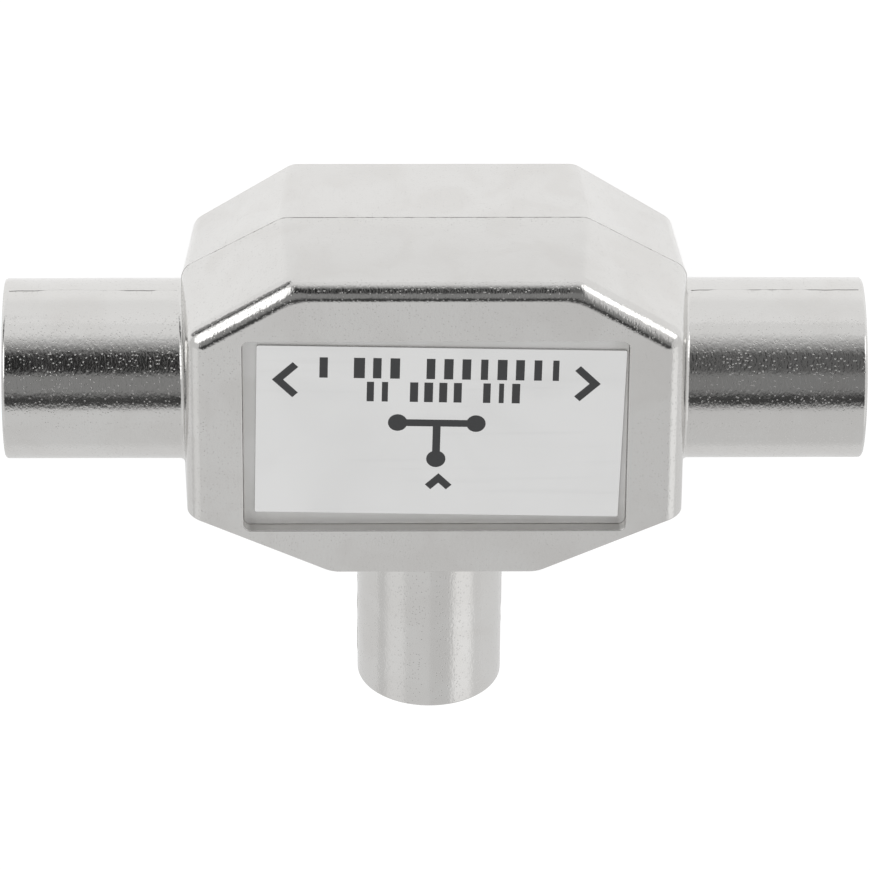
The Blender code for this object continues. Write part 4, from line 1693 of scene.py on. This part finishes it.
@dataclass
class Studio:
    """The white tent, the pale floor and the camera."""

    sizes: FrameSizes
    lens: float = 266.63
    distance: float = 418.118 * MM
    tilt: float = math.radians(31.518)
    swing: float = math.radians(0.898)
    roll: float = math.radians(0.39)
    sensor: float = 36.0
    clip: Point = (0.01, 20.0)
    aim: Point = (0.116 * MM, -4.378 * MM)
    parts: tuple[TentPart, ...] = (
        TentPart("foot of the plug side's wall", -180, -110, 0.95, 0.95),
        TentPart("plug side's wall", -80, -25, 0.78, 0.72),
        TentPart("slot", -16, -8, 0.05, 0.05),
        TentPart("ceiling", 1, 21, 0.3, 0.25),
        TentPart("camera's opening", 27, 48, 0.02, 0.15),
        TentPart("head side's wall", 75, 180, 0.95, 0.9),
    )
    lamps: tuple[SideLamp, ...] = (
        SideLamp((-0.715, -0.523, 0.464), 8, 19, 0.17),
        SideLamp((0.700, -0.523, 0.490), 9, 19, 0.24),
        SideLamp((-0.62, 0.51, 0.59), 15, 24, 1.3),
        SideLamp((0.70, 0.63, 0.33), 9, 17, 1.3),
    )
    middle: Point = (-0.03, 0.05)
    side_edges: Point = (0.42, 0.60)
    side_levels: Point = (0.73, 0.82)
    floor_half: float = 3.0
    floor_drop: float = 0.02 * MM
    floor_colour: Colour = (0.34, 0.34, 0.34)
    floor_shade: float = 0.97
    paper_scale: float = 180.0
    floor_seen: float = 0.86
    # Painted shade: the floor's glow in reflections is lower on the foot side than on the head side,
    # standing in for the shade that the splitter casts on the floor there.
    floor_glow_painted_shade: Point = (0.62, 0.90)
    floor_painted_shade_span: Point = (-14.0 * MM, 12.0 * MM)
    floor_fade: Point = (13.5 * MM, 21.0 * MM)
    floor_faded: float = 0.11
    gap_heading: tuple[float, float, float] = (-0.737, 0.676, 0.0)
    gap_spread: Point = (18.0, 26.0)
    gap_reach: Point = (60.0 * MM, 90.0 * MM)
    gap_top: Point = (0.06, 0.2)
    gap_depth: float = 0.9

    def strip(self, graph: Graph, angle: object, levels: Sequence[float]) -> object:
        """The brightness over the splitter as a ramp of the angle, which blends from part to part.

        Args:
            graph: the world's graph.
            angle: the angle as a share of the whole turn.
            levels: the brightness of each part.

        Returns:
            The brightness's socket.
        """
        ramp = graph.node("ShaderNodeValToRGB", {"Fac": angle})
        elements = ramp.color_ramp.elements
        ends = [
            (turn, level) for part, level in zip(self.parts, levels) for turn in (part.start, part.end)
        ]
        while len(elements) < len(ends):
            elements.new(0.5)
        for element, (turn, level) in zip(elements, ends):
            element.position = (turn + 180) / 360
            element.color = opaque((level,) * 3)
        return ramp.outputs["Color"]

    def beside_gap(self, graph: Graph, place: object, reach: bool = True) -> object:
        """How much light is left near the dark gap beyond the table's far left corner.

        Args:
            graph: the graph to add to.
            place: a point of the floor, or a direction.
            reach: whether the gap starts some way out, as it does on the floor.

        Returns:
            A value that is 1 outside the gap.
        """
        flat = graph.node("ShaderNodeVectorMath", {0: place, 1: (1.0, 1.0, 0.0)}, operation="MULTIPLY")
        ahead = graph.node("ShaderNodeVectorMath", {0: flat.outputs["Vector"]}, operation="NORMALIZE")
        values = {0: ahead.outputs["Vector"], 1: self.gap_heading}
        facing = graph.node("ShaderNodeVectorMath", values, operation="DOT_PRODUCT").outputs["Value"]
        inner, outer = (math.cos(math.radians(spread)) for spread in self.gap_spread)
        dark = graph.ramp(facing, outer, inner, 0.0, self.gap_depth)
        if reach:
            distance = graph.node("ShaderNodeVectorMath", {0: place}, operation="LENGTH").outputs["Value"]
            dark = graph.math("MULTIPLY", dark, graph.ramp(distance, *self.gap_reach))
        return graph.math("SUBTRACT", 1.0, dark)

    def tent(self) -> None:
        """Builds the white tent that lights the splitter and that its metal reflects."""
        world = bpy.data.worlds.new("white tent")
        bpy.context.scene.world = world
        world.use_nodes = True
        graph = Graph(world.node_tree)
        direction = graph.node("ShaderNodeTexCoord").outputs["Generated"]
        axes = graph.node("ShaderNodeSeparateXYZ", {"Vector": direction})
        turn = graph.math("ARCTAN2", axes.outputs["Y"], axes.outputs["Z"])
        share = graph.math("MULTIPLY_ADD", turn, 1 / math.tau, 0.5)
        for part in self.parts:
            log.info("tent, %s: %.2f left, %.2f right", part.name, part.left, part.right)
        left = self.strip(graph, share, [part.left for part in self.parts])
        right = self.strip(graph, share, [part.right for part in self.parts])
        half = graph.ramp(axes.outputs["X"], *self.middle)
        edge = graph.ramp(graph.math("ABSOLUTE", axes.outputs["X"]), *self.side_edges)
        sides = graph.mix(half, *(opaque((value,) * 3) for value in self.side_levels))
        light = graph.mix(edge, graph.mix(half, left, right), sides)
        for lamp in self.lamps:
            values = {0: direction, 1: Vector(lamp.direction).normalized()}
            facing = graph.node("ShaderNodeVectorMath", values, operation="DOT_PRODUCT").outputs["Value"]
            outer, inner = math.cos(math.radians(lamp.outer)), math.cos(math.radians(lamp.inner))
            glow = graph.ramp(facing, outer, inner, 0.0, lamp.strength)
            both = graph.node("ShaderNodeVectorMath", {0: light, 1: glow}, operation="ADD")
            light = both.outputs["Vector"]
        low = graph.ramp(axes.outputs["Z"], *self.gap_top, 0.0, 1.0)
        kept = graph.math("MAXIMUM", low, self.beside_gap(graph, direction, reach=False))
        dimmed = graph.node("ShaderNodeVectorMath", {0: light, "Scale": kept}, operation="SCALE")
        seen = graph.node("ShaderNodeLightPath").outputs["Is Camera Ray"]
        shown = graph.mix(seen, dimmed.outputs["Vector"], opaque((1.0, 1.0, 1.0)))
        graph.feed(world.node_tree.nodes["Background"].inputs["Color"], shown)

    def floor(self) -> None:
        """Builds the floor, which is white to the camera and keeps the shadow; in reflections it glows pale,
        with painted shade that makes the glow lower on the foot side.
        """
        half = self.floor_half
        shape = bmesh.new()
        corners = rectangle(-half, half, -half, half)
        shape.faces.new([shape.verts.new((x, y, -self.floor_drop)) for x, y in corners])
        floor = mesh_object("floor", shape)
        material = bpy.data.materials.new("pale floor")
        material.use_nodes = True
        graph = Graph(material.node_tree)
        nodes = material.node_tree.nodes
        nodes.remove(nodes["Principled BSDF"])
        place = graph.node("ShaderNodeTexCoord").outputs["Object"]
        values = {"Vector": place, "Scale": self.paper_scale, "Detail": 3.0}
        paper = graph.node("ShaderNodeTexNoise", values).outputs["Fac"]
        dark = tuple(self.floor_shade * value for value in self.floor_colour)
        colour = graph.mix(paper, opaque(dark), opaque(self.floor_colour))
        soft = graph.node("ShaderNodeBsdfDiffuse", {"Color": colour}).outputs["BSDF"]
        rays = graph.node("ShaderNodeLightPath")
        along = graph.node("ShaderNodeSeparateXYZ", {"Vector": place}).outputs["Y"]
        # Painted shade: the glow that reflections see falls towards the foot side, standing in for the
        # splitter's shade on the floor, and dims a little again further towards the head.
        near = graph.ramp(along, *self.floor_painted_shade_span, *self.floor_glow_painted_shade)
        faded = graph.ramp(along, *self.floor_fade, 0.0, self.floor_faded)
        plain = graph.math("SUBTRACT", near, faded)
        mirrored = graph.math("MULTIPLY", plain, self.beside_gap(graph, place))
        bounced = graph.math("MAXIMUM", rays.outputs["Is Glossy Ray"], rays.outputs["Is Transmission Ray"])
        strength = graph.math("MULTIPLY", bounced, mirrored)
        strength = graph.math("MULTIPLY_ADD", rays.outputs["Is Camera Ray"], self.floor_seen, strength)
        glow = graph.node("ShaderNodeEmission", {"Strength": strength}).outputs["Emission"]
        both = graph.node("ShaderNodeAddShader", {0: soft, 1: glow}).outputs["Shader"]
        graph.feed(nodes["Material Output"].inputs["Surface"], both)
        floor.data.materials.append(material)
        floor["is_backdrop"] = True

    def camera(self) -> None:
        """Places the camera as the photograph has it, beyond the head and above the face."""
        tilt, swing = self.tilt, self.swing
        back = Vector((-math.sin(swing) * math.cos(tilt), math.sin(tilt), math.cos(swing) * math.cos(tilt)))
        right = Vector((math.cos(swing), 0.0, math.sin(swing)))
        up = back.cross(right)
        crossing = Vector((0.0, 0.0, self.sizes.axis))
        spot = crossing + back * self.distance
        target = crossing + right * self.aim[0] + up * self.aim[1]
        back = (spot - target).normalized()
        right = right * math.cos(self.roll) + up * math.sin(self.roll)
        right = (right - back * right.dot(back)).normalized()
        up = back.cross(right)
        data = bpy.data.cameras.new("camera")
        data.lens = self.lens
        data.sensor_width = self.sensor
        data.clip_start, data.clip_end = self.clip
        camera = bpy.data.objects.new("camera", data)
        camera.matrix_world = Matrix.Translation(spot) @ Matrix((right, up, back)).transposed().to_4x4()
        bpy.context.scene.collection.objects.link(camera)
        bpy.context.scene.camera = camera

    def build(self) -> None:
        """Builds the whole studio."""
        bpy.context.scene.view_settings.view_transform = "Standard"
        self.tent()
        self.floor()
        self.camera()


def keep_sizes() -> None:
    """Works out the box of the solids and the box of the dressed model; nothing is written."""
    boxes = {"cad": CAD_BOX, "visual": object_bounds()}
    {name: [list(corner) for corner in box] for name, box in boxes.items()}


def main() -> None:
    """Builds every piece round the frame."""
    logging.basicConfig(level=logging.INFO, format="%(name)s: %(message)s")
    sizes = FrameSizes()
    Studio(sizes).build()
    Casting(sizes).build()
    Lid(sizes).build()
    Label(sizes).build()
    for port in Port:
        Connector(sizes, port).build()
    Circuit().dress()
    keep_sizes()


if __name__ == "__main__":
    main()
